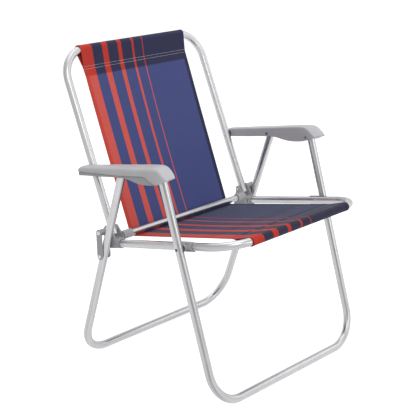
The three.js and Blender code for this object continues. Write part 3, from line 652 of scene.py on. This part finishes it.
def smooth_through(xs, ys, x):
    """A smooth curve through points that never swings past them."""
    slopes = np.diff(ys) / np.diff(xs)
    before, after = np.append(slopes[0], slopes), np.append(slopes, slopes[-1])
    tangents = np.where(before * after <= 0, 0, (before + after) / 2)
    limit = 3 * np.minimum(np.abs(before), np.abs(after))
    tangents = np.clip(tangents, -limit, limit)
    i = np.clip(np.searchsorted(xs, x, side="right") - 1, 0, len(xs) - 2)
    h = xs[i + 1] - xs[i]
    t = (x - xs[i]) / h
    start = ys[i] * (2 * t**3 - 3 * t**2 + 1) + h * tangents[i] * (t**3 - 2 * t**2 + t)
    return start + ys[i + 1] * (3 * t**2 - 2 * t**3) + h * tangents[i + 1] * (t**3 - t**2)


def arc(centre, radius, start, end, points):
    """Points along an arc between two angles."""
    a = np.linspace(start, end, points)
    return np.stack([centre[0] + radius * np.cos(a), centre[1] + radius * np.sin(a)], axis=-1)


def lofted(name, rings, skirt=None):
    """Rings of the same number of points, skinned into one closed mesh. The faces from the point
    of the rings that skirt names to the next take the second material."""
    size = len(rings[0])
    grid = np.arange(len(rings) * size).reshape(-1, size)
    sides = faces_of(np.column_stack([grid, grid[:, 0]]))
    points = [point for ring in rings for point in ring]
    mesh = closed_mesh(name, points, [*sides, grid[0].tolist(), grid[-1].tolist()])
    if skirt is not None:
        for i in range(size + skirt, len(sides), size):
            mesh.polygons[i].material_index = 1
    return mesh


def peg(from_x, to_x, place, radius):
    """A round bar across the chair."""
    rim = arc(place, radius, 0, 2 * math.pi, PEG_SIDES + 1)[:-1]
    return lofted("peg", [[(x, y, z) for y, z in rim] for x in (from_x, to_x)])


def combined(name, base, steps):
    """The base mesh after cutting out or adding each of the other meshes in turn."""
    body = in_scene("helper", base)
    helpers = []
    for kind, mesh in steps:
        helpers.append(in_scene("helper", mesh))
        modifier = body.modifiers.new("combine", "BOOLEAN")
        modifier.operation = kind
        modifier.solver = "EXACT"
        modifier.object = helpers[-1]
    return after_modifiers(name, body, *helpers)


class ArmrestForm:
    """The rings of one armrest."""

    def __init__(self, arms, side):
        self.arms = arms
        self.side = side
        self.inner_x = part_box("armrest_right")[0].x
        self.rear_y = ARM_BACK[0] + arms.tail
        self.run = self.rear_y - ARM_FRONT_LEG[0] + arms.nose

    def top_z(self, along):
        arms = self.arms
        y = self.rear_y - along * self.run
        return ARM_BACK[1] + arms.pivot_depth + math.tan(arms.rise) * (ARM_BACK[0] - y)

    def outer_x(self, along):
        extra = (self.arms.front_width - self.arms.rear_width) * min(along / ARM_FLARE_END, 1)
        return self.inner_x + self.arms.rear_width + extra

    def levels(self, along):
        """Heights of the top, the lip and the bottom at a share of the length, and the inset."""
        xs = ARM_STATIONS[:, 0]
        values = [float(smooth_through(xs, ARM_STATIONS[:, k], along)) for k in (1, 2, 3, 4)]
        heights = [self.top_z(along) - value * self.arms.depth for value in values[:3]]
        return *heights, values[3] * self.arms.front_width

    def placed(self, along, points):
        width = self.outer_x(along) - self.inner_x
        ring = []
        for x, z in points:
            lead = self.arms.sweep * min(along / ARM_FLARE_END, 1) * (x - self.inner_x) / width
            ring.append((self.side * x, self.rear_y - along * self.run - lead, z))
        return ring

    def outline(self, along):
        arms = self.arms
        top, lip, bottom, inset = self.levels(along)
        left, right = self.inner_x + inset, self.outer_x(along) - inset
        half = (top - bottom) / 2
        inner = min(arms.inner_edge, half)
        outer = min(arms.outer_edge, half, top - lip - arms.lip)
        span = right - outer - left - inner
        crown = [
            (left + inner + span * i / 6, top + arms.crown * math.sin(math.pi * i / 6))
            for i in range(1, 6)
        ]
        lip_round = min(arms.lip_round, (lip - bottom) / 3 + 0.1 * MM)
        groove = min(arms.groove, (lip - bottom) / 4)
        skirt = right - arms.lip_step
        points = [
            (left, bottom),
            (left, (bottom + top - inner) / 2),
            *arc((left + inner, top - inner), inner, math.pi, QUARTER, 8),
            *crown,
            *arc((right - outer, top - outer), outer, QUARTER, 0, 8),
            (right, lip + lip_round),
            (right - lip_round, lip),
            (skirt - groove, lip),
            (skirt - groove, lip - groove),
            (skirt, lip - 2 * groove),
            (skirt, bottom),
        ]
        return self.placed(along, points)

    def hollow(self, along):
        arms = self.arms
        top, _, bottom, _ = self.levels(along)
        top, bottom = top - arms.roof, bottom - ARM_CUT_PAST
        left, right = self.inner_x + arms.wall, self.outer_x(along) - arms.lip_step - arms.wall
        edge = arms.inner_edge / 2
        points = [
            (left, bottom),
            *arc((left + edge, top - edge), edge, math.pi, QUARTER, 5),
            *arc((right - edge, top - edge), edge, QUARTER, 0, 5),
            (right, bottom),
        ]
        return self.placed(along, points)

    def tail_cut(self):
        """The opening under the rear wall."""
        arms = self.arms
        left, right = self.inner_x + arms.wall, self.outer_x(0) - arms.wall - arms.lip_step
        top = self.top_z(0) - ARM_STATIONS[0, 3] * arms.depth + arms.tail_opening
        bottom = top - 2 * arms.tail_opening
        section = [(left, bottom), (right, bottom), (right, top), (left, top)]
        ends = (self.rear_y - arms.tail_opening, self.rear_y + arms.tail_opening)
        return [[(self.side * x, y, z) for x, z in section] for y in ends]


class CHAIR_OT_armrests(bpy.types.Operator):
    """Moulds the two armrests, hollow underneath, with the bosses that hold the legs"""

    bl_idname = "chair.build_armrests"
    bl_label = "Build armrests"

    def execute(self, context):
        arms = context.scene.chair_armrests
        stance = Stance(context.scene.chair_tubes)
        clear = stance.radius + arms.play
        finishes = (
            moulded_plastic("armrest_polypropylene", arms.plastic, 0.5),
            # the skirt's finish is rougher, and darker with painted shade under the lip
            moulded_plastic("armrest_skirt_polypropylene", arms.shaded_skirt_plastic, 0.65),
        )
        far_end = [1 - s for s in reversed(ARM_END_SHARES)]
        shares = [0.0, *ARM_END_SHARES, *np.linspace(0.06, 0.94, 64), *far_end, 1.0]
        for hand, side in HANDS:
            node = f"armrest_{hand}"
            form = ArmrestForm(arms, side)
            body = lofted(node, [form.outline(s) for s in shares], SKIRT_FACE)
            for material in finishes:
                body.materials.append(material)
            hollow_shares = [arms.wall / form.run, *np.linspace(0.03, ARM_CHANNEL_END, 48)]
            steps = [
                ("DIFFERENCE", lofted("hollow", [form.hollow(s) for s in hollow_shares])),
                ("DIFFERENCE", lofted("tail_cut", form.tail_cut())),
            ]
            for place in (ARM_REAR_LEG, ARM_FRONT_LEG):
                leg = stance.leg_x(place[1])
                inner = form.inner_x + arms.wall / 2
                outer = form.outer_x((form.rear_y - place[0]) / form.run)
                outer -= arms.lip_step + arms.wall / 2
                for start, end in ((inner, leg - clear), (leg + clear, outer)):
                    steps.append(("UNION", peg(side * start, side * end, place, arms.boss)))
            mesh = combined(f"{node}_moulding", body, steps)
            set_smooth(mesh, 32)
            replace_node(node, f"{node}_moulding", mesh)
        return {"FINISHED"}


class CHAIR_OT_mouldings(bpy.types.Operator):
    """Rounds the edges of the brackets, links, spacers and washers and gives them their plastic"""

    bl_idname = "chair.build_mouldings"
    bl_label = "Build mouldings"

    def execute(self, context):
        moulds = context.scene.chair_mouldings
        plastic = moulded_plastic("bracket_polypropylene", moulds.plastic, 0.52)
        washer = moulded_plastic("washer_nylon", moulds.washer, 0.45)
        kinds = {
            "hinge_bracket": (moulds.edge, plastic),
            "link": (moulds.edge, plastic),
            "leg_spacer": (moulds.edge, plastic),
            "leg_washer": (moulds.fine_edge, washer),
            "arm_washer": (moulds.fine_edge, washer),
        }
        for kind, (edge, material) in kinds.items():
            for hand, _ in HANDS:
                node = f"{kind}_{hand}"
                mesh = rounded_copy(node, edge)
                set_material(mesh, material)
                replace_node(node, f"{node}_moulding", mesh)
        return {"FINISHED"}


def rounded_copy(node, edge):
    """A merged copy of a node's mesh with its sharp edges rounded."""
    built = bmesh.new()
    built.from_mesh(frame["nodes"][node].data)
    bmesh.ops.remove_doubles(built, verts=built.verts, dist=0.01 * MM)
    flat = math.radians(1)
    bmesh.ops.dissolve_limit(built, angle_limit=flat, verts=built.verts, edges=built.edges)
    merged = bpy.data.meshes.new("helper")
    built.to_mesh(merged)
    built.free()
    helper = in_scene("helper", merged)
    bevel = helper.modifiers.new("round", "BEVEL")
    bevel.width = edge
    bevel.segments = 2
    bevel.limit_method = "ANGLE"
    bevel.angle_limit = math.radians(36)
    bevel.use_clamp_overlap = True
    mesh = after_modifiers(f"{node}_moulding", helper)
    set_smooth(mesh, 40)
    return mesh


def new_tree(name, inputs):
    """A geometry tree with named inputs, and its input and output nodes."""
    tree = bpy.data.node_groups.new(name, "GeometryNodeTree")
    for in_out in ("INPUT", "OUTPUT"):
        tree.interface.new_socket("Geometry", in_out=in_out, socket_type="NodeSocketGeometry")
    for title, (kind, _) in inputs.items():
        tree.interface.new_socket(title, in_out="INPUT", socket_type=f"NodeSocket{kind}")
    return tree, add_node(tree, "NodeGroupInput").outputs, add_node(tree, "NodeGroupOutput")


def end_tree(tree, given, out, geometry):
    """Makes the instances real, smooths them and gives them the tree's material."""
    real = add_node(tree, "GeometryNodeRealizeInstances", {0: geometry})
    smooth = add_node(tree, "GeometryNodeSetShadeSmooth", {0: real})
    values = {"Geometry": smooth, "Material": given["Material"]}
    wire(tree, out, {0: add_node(tree, "GeometryNodeSetMaterial", values)})
    return tree


def grown(name, points, edges, attributes, tree, inputs):
    """The plain mesh that a geometry tree makes from points and edges."""
    mesh = bpy.data.meshes.new(name)
    mesh.from_pydata([tuple(p) for p in points], edges, [])
    set_numbers(mesh, attributes)
    helper = in_scene("helper", mesh)
    modifier = helper.modifiers.new("grow", "NODES")
    modifier.node_group = tree
    for socket in tree.interface.items_tree:
        if socket.in_out == "INPUT" and socket.name in inputs:
            modifier[socket.identifier] = inputs[socket.name][1]
    mesh = after_modifiers(name, helper)
    set_material(mesh, inputs["Material"][1])
    return mesh


# For each kind of rivet: the inner and the outer head's share of the full radius, where no head is
# 0, then how much painted shade darkens the inner and the outer end
RIVET_ENDS = {
    "hinge_axle": (0, 1, 0, 0),
    "seat_leg_rivet": (0.9, 0.7, 0.1, 1),
    "arm_back_rivet": (0.9, 1, 0, 0),
    "arm_rear_leg_rivet": (0.75, 0, 0.9, 0.9),
    "arm_front_leg_rivet": (0.7, 0, 0.8, 0.8),
    "link_outer_rivet": (0, 1, 0, 0),
    "link_inner_rivet": (1, 0, 0.5, 0.5),
    "bracket_rivet": (0.9, 0, 0.5, 0.5),
}


def rivet_tree(inputs):
    """Shanks along the edges of the input, and a low dome over each point with a head radius."""
    tree, given, out = new_tree("rivets", inputs)
    circle = {"Resolution": given["Sides"], "Radius": given["Shank Radius"]}
    shank = add_node(tree, "GeometryNodeCurvePrimitiveCircle", circle)
    line = add_node(tree, "GeometryNodeMeshToCurve", {"Mesh": given["Geometry"]})
    sweep = {"Curve": line, "Profile Curve": shank, "Fill Caps": True}
    bars = add_node(tree, "GeometryNodeCurveToMesh", sweep)
    named = {"Name": "head_radius"}
    size = add_node(tree, "GeometryNodeInputNamedAttribute", named, data_type="FLOAT")
    settings = {"data_type": "FLOAT", "operation": "GREATER_THAN"}
    headed = add_node(tree, "FunctionNodeCompare", {0: size, 1: 0.0}, **settings)
    ball = {"Segments": given["Sides"], "Rings": 12, "Radius": 1.0}
    dome = add_node(tree, "GeometryNodeMeshUVSphere", ball)
    scale = add_node(tree, "ShaderNodeCombineXYZ", {0: given["Head Height"], 1: size, 2: size})
    points = add_node(tree, "GeometryNodeMeshToPoints", {"Mesh": given["Geometry"]})
    values = {"Points": points, "Selection": headed, "Instance": dome, "Scale": scale}
    heads = add_node(tree, "GeometryNodeInstanceOnPoints", values)
    both = add_node(tree, "GeometryNodeJoinGeometry", {0: bars})
    wire(tree, both, {0: heads})
    return end_tree(tree, given, out, both)


class CHAIR_OT_rivets(bpy.types.Operator):
    """Sets the rivets and hinge axles, one mesh for each body"""

    bl_idname = "chair.build_rivets"
    bl_label = "Build rivets"

    def execute(self, context):
        rivets = context.scene.chair_rivets
        inputs = {
            "Shank Radius": ("Float", rivets.shank),
            "Head Height": ("Float", rivets.height),
            "Sides": ("Int", rivets.sides),
            "Material": ("Material", pressed_rivet(rivets.metal, rivets.shaded_metal)),
        }
        tree = rivet_tree(inputs)
        under = rivets.height * 0.9  # a shank ends a little inside its head
        bodies = {}
        for node in frame["nodes"]:
            if SLOT_OF[node] == "rivet":
                bodies.setdefault(BODY_OF[node], []).append(node)
        for body, nodes in bodies.items():
            points, edges, radii, dark = [], [], [], []
            for node in sorted(nodes):
                low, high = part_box(node)
                side = 1 if low.x > 0 else -1
                inner, outer = sorted((abs(low.x), abs(high.x)))
                inner_head, outer_head, *shades = RIVET_ENDS[node.rsplit("_", 1)[0]]
                radius = rivets.axle_head if node.startswith("hinge_axle") else rivets.head
                xs = (inner + under * (inner_head > 0), outer - under * (outer_head > 0))
                edges.append((len(points), len(points) + 1))
                points += [(side * x, *middle(node)) for x in xs]
                radii += [radius * inner_head, radius * outer_head]
                dark += shades
            attributes = {"head_radius": radii, "dark": dark}
            mesh = grown(f"rivets_{body}", points, edges, attributes, tree, inputs)
            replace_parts(new_piece(f"rivets_{body}", mesh, body), *nodes)
        return {"FINISHED"}


def unit(vector):
    return vector / np.linalg.norm(vector)


# The cloth's left and right edges, each place a distance past one of the marks along the cloth
SLING_EDGES = (
    ("tail_front", 0.0, -0.1790, 0.1730),
    ("bar_front", 0.0, -0.1812, 0.1735),
    ("seam_front", 0.0, -0.1795, 0.1730),
    ("seam_front", 0.12, -0.1785, 0.1740),
    ("turn", 0.0, -0.1780, 0.1755),
    ("seam_top", -0.15, -0.1785, 0.1755),
    ("seam_top", -0.02, -0.1775, 0.1765),
    ("seam_top", 0.0, -0.1765, 0.1765),
    ("bar_top", 0.0, -0.1795, 0.1785),
    ("tail_top", 0.0, -0.1765, 0.1765),
)
TURN_POINTS = 16  # along the bend of the cloth under the cross tube
LAYER_GAP = 0.2 * MM  # between the two layers below a sleeve, where their hems meet
HALF_STEP = 0.8 * MM  # along the cloth to either side of a place, to find the direction there
HEM_EDGE = 0.8 * MM  # width of the thinned edge of a hem
END_ROW = 0.4 * MM  # from each end of the cloth to the row that thins it
ROW_GAP = 0.35 * MM  # rows of the cloth's mesh lie further apart than this
PUCKER = 0.22 * MM  # height of the puckers at the seams
SEAT_SHADOW = (0.068, 0.123)  # a painted shadow across the seat, from and to, past the front seam
SEAT_SHADOW_EDGE = 0.012  # how far that painted shadow takes to fade in and out


class SlingForm:
    """The sling as one strip of cloth: its line in the side view and its edges."""

    def __init__(self, sling, stance):
        self.sling = sling
        self.stance = stance
        self.hinge_point = np.array(HINGE) + stance.back_rear * sling.behind_hinge
        self.panel_up = unit(stance.back_bar - self.hinge_point)
        ahead, up = stance.seat_ahead, self.panel_up
        rise = sling.above_front / sling.seam
        rearward = np.array([ahead[1], -ahead[0]]) * rise - ahead * math.sqrt(1 - rise**2)
        self.front_seam = stance.seat_bar + rearward * sling.seam
        outside = np.array([-rearward[1], rearward[0]])
        front_sleeve = self.sleeve(stance.seat_bar, rearward, outside)[::-1]
        top_sleeve = self.sleeve(stance.back_bar, -up, np.array([-up[1], up[0]]))
        self.corners = np.array([*front_sleeve, *self.turn(), *top_sleeve])
        steps = np.linalg.norm(np.diff(self.corners, axis=0), axis=1)
        self.travel = np.append(0, np.cumsum(steps))
        self.total = float(self.travel[-1])
        front, top = len(front_sleeve), len(front_sleeve) + TURN_POINTS
        stops = {
            "tail_front": 0,
            "bar_front": front // 2 + 1,
            "seam_front": front - 1,
            "turn": front + TURN_POINTS // 2,
            "seam_top": top,
            "bar_top": top + len(top_sleeve) // 2 - 1,
            "tail_top": -1,
        }
        self.marks = {name: float(self.travel[i]) for name, i in stops.items()}

    def sleeve(self, bar, toward, outside):
        """From the seam round a bar to the end of the tail."""
        sling = self.sling
        behind = outside * (sling.thickness + sling.hem_step + LAYER_GAP)
        radius = self.stance.radius + sling.ease + sling.thickness / 2
        touch = math.acos(radius / sling.seam)
        line = [bar + toward * sling.seam]
        for a in np.linspace(touch, 2 * math.pi - touch, 40):
            line.append(bar + radius * (toward * math.cos(a) + outside * math.sin(a)))
        line.append(bar + toward * sling.seam - behind)
        line.append(bar + toward * sling.tail - behind)
        return line

    def turn(self):
        """The bend of the cloth under the cross tube."""
        sling, stance, up = self.sling, self.stance, self.panel_up
        drop = stance.seat_z(self.hinge_point[0]) + sling.above_rear - self.hinge_point[1]
        fall = up[1] + up[0] * math.tan(stance.tubes.seat_rake)
        corner = self.hinge_point + up * drop / fall
        ahead = unit(self.front_seam - corner)
        opening = math.acos(float(up @ ahead))
        centre = corner + unit(up + ahead) * sling.turn_radius / math.sin(opening / 2)
        start = corner + up * sling.turn_radius / math.tan(opening / 2)
        first = math.atan2(*(start - centre)[::-1])
        return arc(centre, sling.turn_radius, first - (math.pi - opening), first, TURN_POINTS)

    def at(self, v):
        """Places on the line, as (y, z), at distances along it."""
        return np.stack([np.interp(v, self.travel, self.corners[:, k]) for k in (0, 1)], axis=-1)

    def edges(self, v):
        """Left and right edge of the cloth at each distance along it."""
        xs = np.array([self.marks[name] + shift for name, shift, _, _ in SLING_EDGES])
        return [smooth_through(xs, np.array([row[k] for row in SLING_EDGES]), v) for k in (2, 3)]

    def surface(self, across, v, lift):
        """Points of the cloth at shares across it and distances along it, lifted off its middle."""
        m = self.marks
        left, right = self.edges(v)
        x = left[:, None] + (right - left)[:, None] * across
        ahead, behind = (np.clip(v + step, 0, self.total) for step in (HALF_STEP, -HALF_STEP))
        way = self.at(ahead) - self.at(behind)
        way /= np.linalg.norm(way, axis=1)[:, None]
        normal = np.stack([-way[:, 1], way[:, 0]], axis=-1)
        hang = np.zeros(len(v))
        for start, end in (("seam_front", "turn"), ("turn", "seam_top")):
            hang -= np.sin(math.pi * np.clip((v - m[start]) / (m[end] - m[start]), 0, 1))
        offset = self.sling.slack * hang[:, None] * (1 - (2 * across - 1) ** 2) + lift
        # the seams draw the cloth into small puckers that fade out into the panels
        ripple = np.sin(2 * math.pi * x / 0.031) + 0.6 * np.sin(2 * math.pi * x / 0.0173 + 1.3)
        for beyond in (v - m["seam_front"], m["seam_top"] - v):
            beyond = np.clip(beyond, 0, None)
            fade = np.exp(-beyond / 0.03) * (1 - np.exp(-beyond / 0.004))
            offset = offset + PUCKER * fade[:, None] * ripple
        place = self.at(v)[:, None] + normal[:, None] * offset[:, :, None]
        return np.concatenate([x[:, :, None], place], axis=-1).reshape(-1, 3)


class CHAIR_OT_sling(bpy.types.Operator):
    """Hangs the striped sling between the two bars as one strip of cloth with sewn sleeves"""

    bl_idname = "chair.build_sling"
    bl_label = "Build sling"

    def execute(self, context):
        sling = context.scene.chair_sling
        form = SlingForm(sling, Stance(context.scene.chair_tubes))
        mesh, width = cloth_mesh("sling", form)
        mesh.materials.append(woven_sling(sling, width))
        piece = new_piece("sling", mesh, None)
        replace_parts(piece, "back_sling", "seat_sling")
        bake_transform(piece)
        return {"FINISHED"}


def cloth_mesh(name, form):
    """The sling's closed mesh: an upper and a lower skin, thicker along the side hems."""
    sling = form.sling
    left, right = form.edges(np.array([form.marks["turn"]]))
    width = float(right[0] - left[0])
    hem, lip = sling.hem / width, HEM_EDGE / width
    edge = np.array([0, lip / 2, lip * 1.5, hem / 2, hem - lip, hem])
    middle_columns = np.linspace(hem + 0.004, 1 - hem - 0.004, 64)
    across = np.concatenate([edge, middle_columns, 1 - edge[::-1]])
    ends = [END_ROW, form.total - END_ROW]
    stops = np.concatenate([form.travel[1:-1], np.linspace(0, form.total, 230), ends])
    v = np.unique(np.round(stops, 5))
    keep = np.append(True, np.diff(v) > ROW_GAP)
    keep[-1] = True
    v = v[keep]
    left_hem, right_hem = across < hem - lip / 2, across > 1 - hem + lip / 2
    half = np.full((len(v), len(across)), sling.thickness / 2)
    half[:, left_hem | right_hem] += sling.hem_step / 2
    # the outline of the cloth is thinned, so that its edges look soft
    half[:, [0, -1]] *= 0.35
    half[[0, -1], :] *= 0.5
    points = np.concatenate([form.surface(across, v, sign * half) for sign in (1, -1)])
    upper = np.arange(half.size).reshape(half.shape)
    faces = faces_of(upper) + faces_of(upper[:, ::-1] + half.size)
    for rim in (upper[:, 0], upper[:, -1], upper[0], upper[-1]):
        faces += faces_of(np.stack([rim, rim + half.size]))
    mesh = closed_mesh(name, points.tolist(), faces)
    spots = np.stack(np.meshgrid(across * width, v), axis=-1).reshape(-1, 2)
    corners = np.array([loop.vertex_index for loop in mesh.loops]) % half.size
    uv = mesh.uv_layers.new(name="cloth").data
    uv.foreach_set("uv", spots[corners].astype(np.float32).ravel())
    set_numbers(mesh, {"shaded": painted_cloth_shade(form, v, half.shape, left_hem, right_hem)})
    set_smooth(mesh, 50)
    return mesh, width


def painted_cloth_shade(form, v, shape, left_hem, right_hem):
    """How much painted shade the cloth's colour takes at each point, from 0, lit through from behind,
    to 1, with no light through it.
    """
    m = form.marks
    tail = form.sling.tail - form.sling.seam
    upper = np.zeros(shape)
    # painted shade: the seat takes it because no light comes from under it, and the front sleeve and
    # its tail take more because they are double and let no light through
    for end, depth in ((m["turn"], 0.7), (m["seam_front"] + tail, 0.9), (m["seam_front"], 1)):
        upper[v < end] = depth
    # a painted shadow across the seat, which fades in and out at its edges
    from_seam = v - m["seam_front"]
    inside = np.minimum(from_seam - SEAT_SHADOW[0], SEAT_SHADOW[1] - from_seam)
    upper += 0.2 * np.clip(inside / SEAT_SHADOW_EDGE, 0, 1)[:, None]
    # painted shade on the double side hems, where less light comes through; more on the right hem than
    # on the left
    upper[:, left_hem] += 0.55
    upper[:, right_hem] += 0.9
    lower = upper.copy()
    # painted shade on the double top sleeve, and full painted shade on the inside of its rear layer
    # from the tail to just past the seam
    top_sleeve = v > m["seam_top"] - tail
    upper[top_sleeve] = 0.88
    lower[top_sleeve & (v < m["seam_top"] + 2 * MM)] = 1
    return np.clip(np.concatenate([upper.ravel(), lower.ravel()]), 0, 1).astype(np.float32)


def stitch_tree(inputs):
    """Short stitches along the edges of the input, each a little uneven."""
    tree, given, out = new_tree("stitches", inputs)
    line = add_node(tree, "GeometryNodeMeshToCurve", {"Mesh": given["Geometry"]})
    spaced = {"Curve": line, "Length": given["Pitch"]}
    rows = add_node(tree, "GeometryNodeCurveToPoints", spaced, mode="LENGTH")
    spread = {"Min": (0.82, 0.85, 0.85), "Max": (1.12, 1.15, 1.15), "Seed": given["Seed"]}
    uneven = add_node(tree, "FunctionNodeRandomValue", spread, data_type="FLOAT_VECTOR")
    values = {0: given["Stitch Length"], 1: 0.5}
    half = add_node(tree, "ShaderNodeMath", values, operation="MULTIPLY")
    heft = add_node(tree, "GeometryNodeInputNamedAttribute", {"Name": "heft"}, data_type="FLOAT")
    values = {0: given["Thread Radius"], 1: heft}
    thick = add_node(tree, "ShaderNodeMath", values, operation="MULTIPLY")
    size = add_node(tree, "ShaderNodeCombineXYZ", {0: thick, 1: thick, 2: half})
    scale = add_node(tree, "ShaderNodeVectorMath", {0: uneven, 1: size}, operation="MULTIPLY")
    bead = add_node(tree, "GeometryNodeMeshUVSphere", {"Segments": 6, "Rings": 5, "Radius": 1.0})
    along = {"Vector": rows.outputs["Tangent"]}
    turn = add_node(tree, "FunctionNodeAlignRotationToVector", along, axis="Z")
    values = {"Points": rows, "Instance": bead, "Rotation": turn, "Scale": scale}
    placed = add_node(tree, "GeometryNodeInstanceOnPoints", values)
    return end_tree(tree, given, out, placed)


class CHAIR_OT_stitches(bpy.types.Operator):
    """Sews each of the two sleeves with two rows of stitches"""

    bl_idname = "chair.build_stitches"
    bl_label = "Build stitches"

    def execute(self, context):
        stitches, sling = context.scene.chair_stitches, context.scene.chair_sling
        form = SlingForm(sling, Stance(context.scene.chair_tubes))
        lift = sling.thickness / 2 + stitches.thread * 0.3
        across = np.linspace(0.006, 0.994, 90)
        points, edges, heft = [], [], []
        # heft makes the thread thicker and paler
        for seam, sign, weight in (("seam_front", 1, 0.59), ("seam_top", -1, 0.69)):
            for shift in (0.0, stitches.rows_apart):
                v = np.array([form.marks[seam] - sign * (shift - stitches.first_row)])
                for face in (1, -1):
                    start = len(points)
                    points += form.surface(across, v, face * lift).tolist()
                    edges += [(i, i + 1) for i in range(start, len(points) - 1)]
                    heft += [weight] * len(across)
        inputs = {
            "Pitch": ("Float", stitches.pitch),
            "Stitch Length": ("Float", stitches.stitch),
            "Thread Radius": ("Float", stitches.thread),
            "Seed": ("Int", stitches.seed),
            "Material": ("Material", twisted_thread(stitches.yarn, sling.shaded_navy)),
        }
        tree = stitch_tree(inputs)
        mesh = grown("sling_stitches", points, edges, {"heft": heft}, tree, inputs)
        piece = new_piece("sling_stitches", mesh, None)
        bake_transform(piece)
        return {"FINISHED"}


# Each lamp with its place, its side in metres and its power in watts
LAMPS = (
    ("key", (-1.6, -2.4, 3.0), 1.8, 35),
    ("front", (0.4, -2.9, 1.2), 1.2, 9),
    ("overhead", (0.3, 0.2, 3.2), 2.2, 20),
    ("fill", (2.6, -1.4, 1.8), 2.2, 12),
    ("rear", (0.4, 2.6, 2.4), 2.0, 12),
)
LAMP_AIM = Vector((0, 0, 0.4))
LOOK_AT = Vector((0.005548, 0.013618, 0.358176))  # the camera's, near the middle of the chair
FLOOR_GLOW = 0.68  # with the light that falls on it, the floor comes to a plain white
SOFT_LIGHT = 0.62  # strength of the world as it lights the chair


class CHAIR_OT_stage(bpy.types.Operator):
    """Sets the floor, the light and the camera"""

    bl_idname = "chair.build_stage"
    bl_label = "Build stage"

    def execute(self, context):
        scene = context.scene
        stage = scene.chair_stage
        scene.view_settings.view_transform = "Standard"
        self.floor(stage)
        self.world(scene)
        self.lamps()
        scene.camera = self.camera(stage)
        return {"FINISHED"}

    def seen_rays(self, tree):
        """One for rays from the camera and for rays that mirror or pass through."""
        rays = add_node(tree, "ShaderNodeLightPath").outputs
        seen = rays["Is Camera Ray"]
        for kind in ("Is Glossy Ray", "Is Transmission Ray"):
            values = {0: seen, 1: rays[kind]}
            seen = add_node(tree, "ShaderNodeMath", values, operation="MAXIMUM")
        return seen

    def floor(self, stage):
        half = stage.floor_size / 2
        mesh = bpy.data.meshes.new("floor")
        corners = [(-half, -half, 0), (half, -half, 0), (half, half, 0), (-half, half, 0)]
        mesh.from_pydata(corners, [], [(0, 1, 2, 3)])
        material, tree, shader = new_material("studio_floor", {})
        tree.nodes.remove(shader)
        matt = add_node(tree, "ShaderNodeBsdfDiffuse", {"Color": stage.floor})
        values = {0: self.seen_rays(tree), 1: FLOOR_GLOW}
        lift = add_node(tree, "ShaderNodeMath", values, operation="MULTIPLY")
        glow = add_node(tree, "ShaderNodeEmission", {"Strength": lift})
        total = add_node(tree, "ShaderNodeAddShader", {0: matt, 1: glow})
        wire(tree, tree.nodes["Material Output"], {"Surface": total})
        mesh.materials.append(material)
        in_scene("floor", mesh)

    def world(self, scene):
        scene.world = bpy.data.worlds.new("studio")
        scene.world.use_nodes = True
        tree = scene.world.node_tree
        values = {"Value": self.seen_rays(tree), "To Min": SOFT_LIGHT, "To Max": 1.0}
        strength = add_node(tree, "ShaderNodeMapRange", values)
        wire(tree, tree.nodes["Background"], {"Strength": strength, "Color": (1, 1, 1, 1)})

    def lamps(self):
        for name, place, size, power in LAMPS:
            data = bpy.data.lights.new(name, "AREA")
            data.shape = "SQUARE"
            data.size = size
            data.energy = power
            lamp = in_scene(name, data)
            lamp.location = place
            lamp.rotation_euler = (LAMP_AIM - lamp.location).to_track_quat("-Z", "Y").to_euler()

    def camera(self, stage):
        data = bpy.data.cameras.new("camera")
        data.lens = stage.lens
        data.sensor_width = 36
        data.clip_end = 100
        camera = in_scene("camera", data)
        az, el = stage.azimuth, stage.elevation
        back = Vector((math.sin(az) * math.cos(el), -math.cos(az) * math.cos(el), math.sin(el)))
        camera.location = LOOK_AT + back * stage.distance
        camera.rotation_euler = (-back).to_track_quat("-Z", "Y").to_euler()
        return camera


OPERATORS = (
    CHAIR_OT_tubes,
    CHAIR_OT_armrests,
    CHAIR_OT_mouldings,
    CHAIR_OT_rivets,
    CHAIR_OT_stitches,
    CHAIR_OT_sling,
    CHAIR_OT_stage,
)


class CHAIR_PT_panel(bpy.types.Panel):
    bl_idname = "CHAIR_PT_panel"
    bl_label = "Lawn Chair"
    bl_space_type = "VIEW_3D"
    bl_region_type = "UI"
    bl_category = "Lawn Chair"

    def draw(self, context):
        for operator in OPERATORS:
            self.layout.operator(operator.bl_idname)


def register():
    for name, group in SETTINGS.items():
        bpy.utils.register_class(group)
        setattr(bpy.types.Scene, name, PointerProperty(type=group))
    for operator in OPERATORS:
        bpy.utils.register_class(operator)
    bpy.utils.register_class(CHAIR_PT_panel)


def unregister():
    bpy.utils.unregister_class(CHAIR_PT_panel)
    for operator in reversed(OPERATORS):
        bpy.utils.unregister_class(operator)
    for name, group in reversed(SETTINGS.items()):
        delattr(bpy.types.Scene, name)
        bpy.utils.unregister_class(group)


def main():
    register()
    bpy.ops.chair.build_tubes()
    bpy.ops.chair.build_armrests()
    bpy.ops.chair.build_mouldings()
    bpy.ops.chair.build_rivets()
    bpy.ops.chair.build_stitches()
    bpy.ops.chair.build_sling()
    bpy.ops.chair.build_stage()


if __name__ == "__main__":
    main()
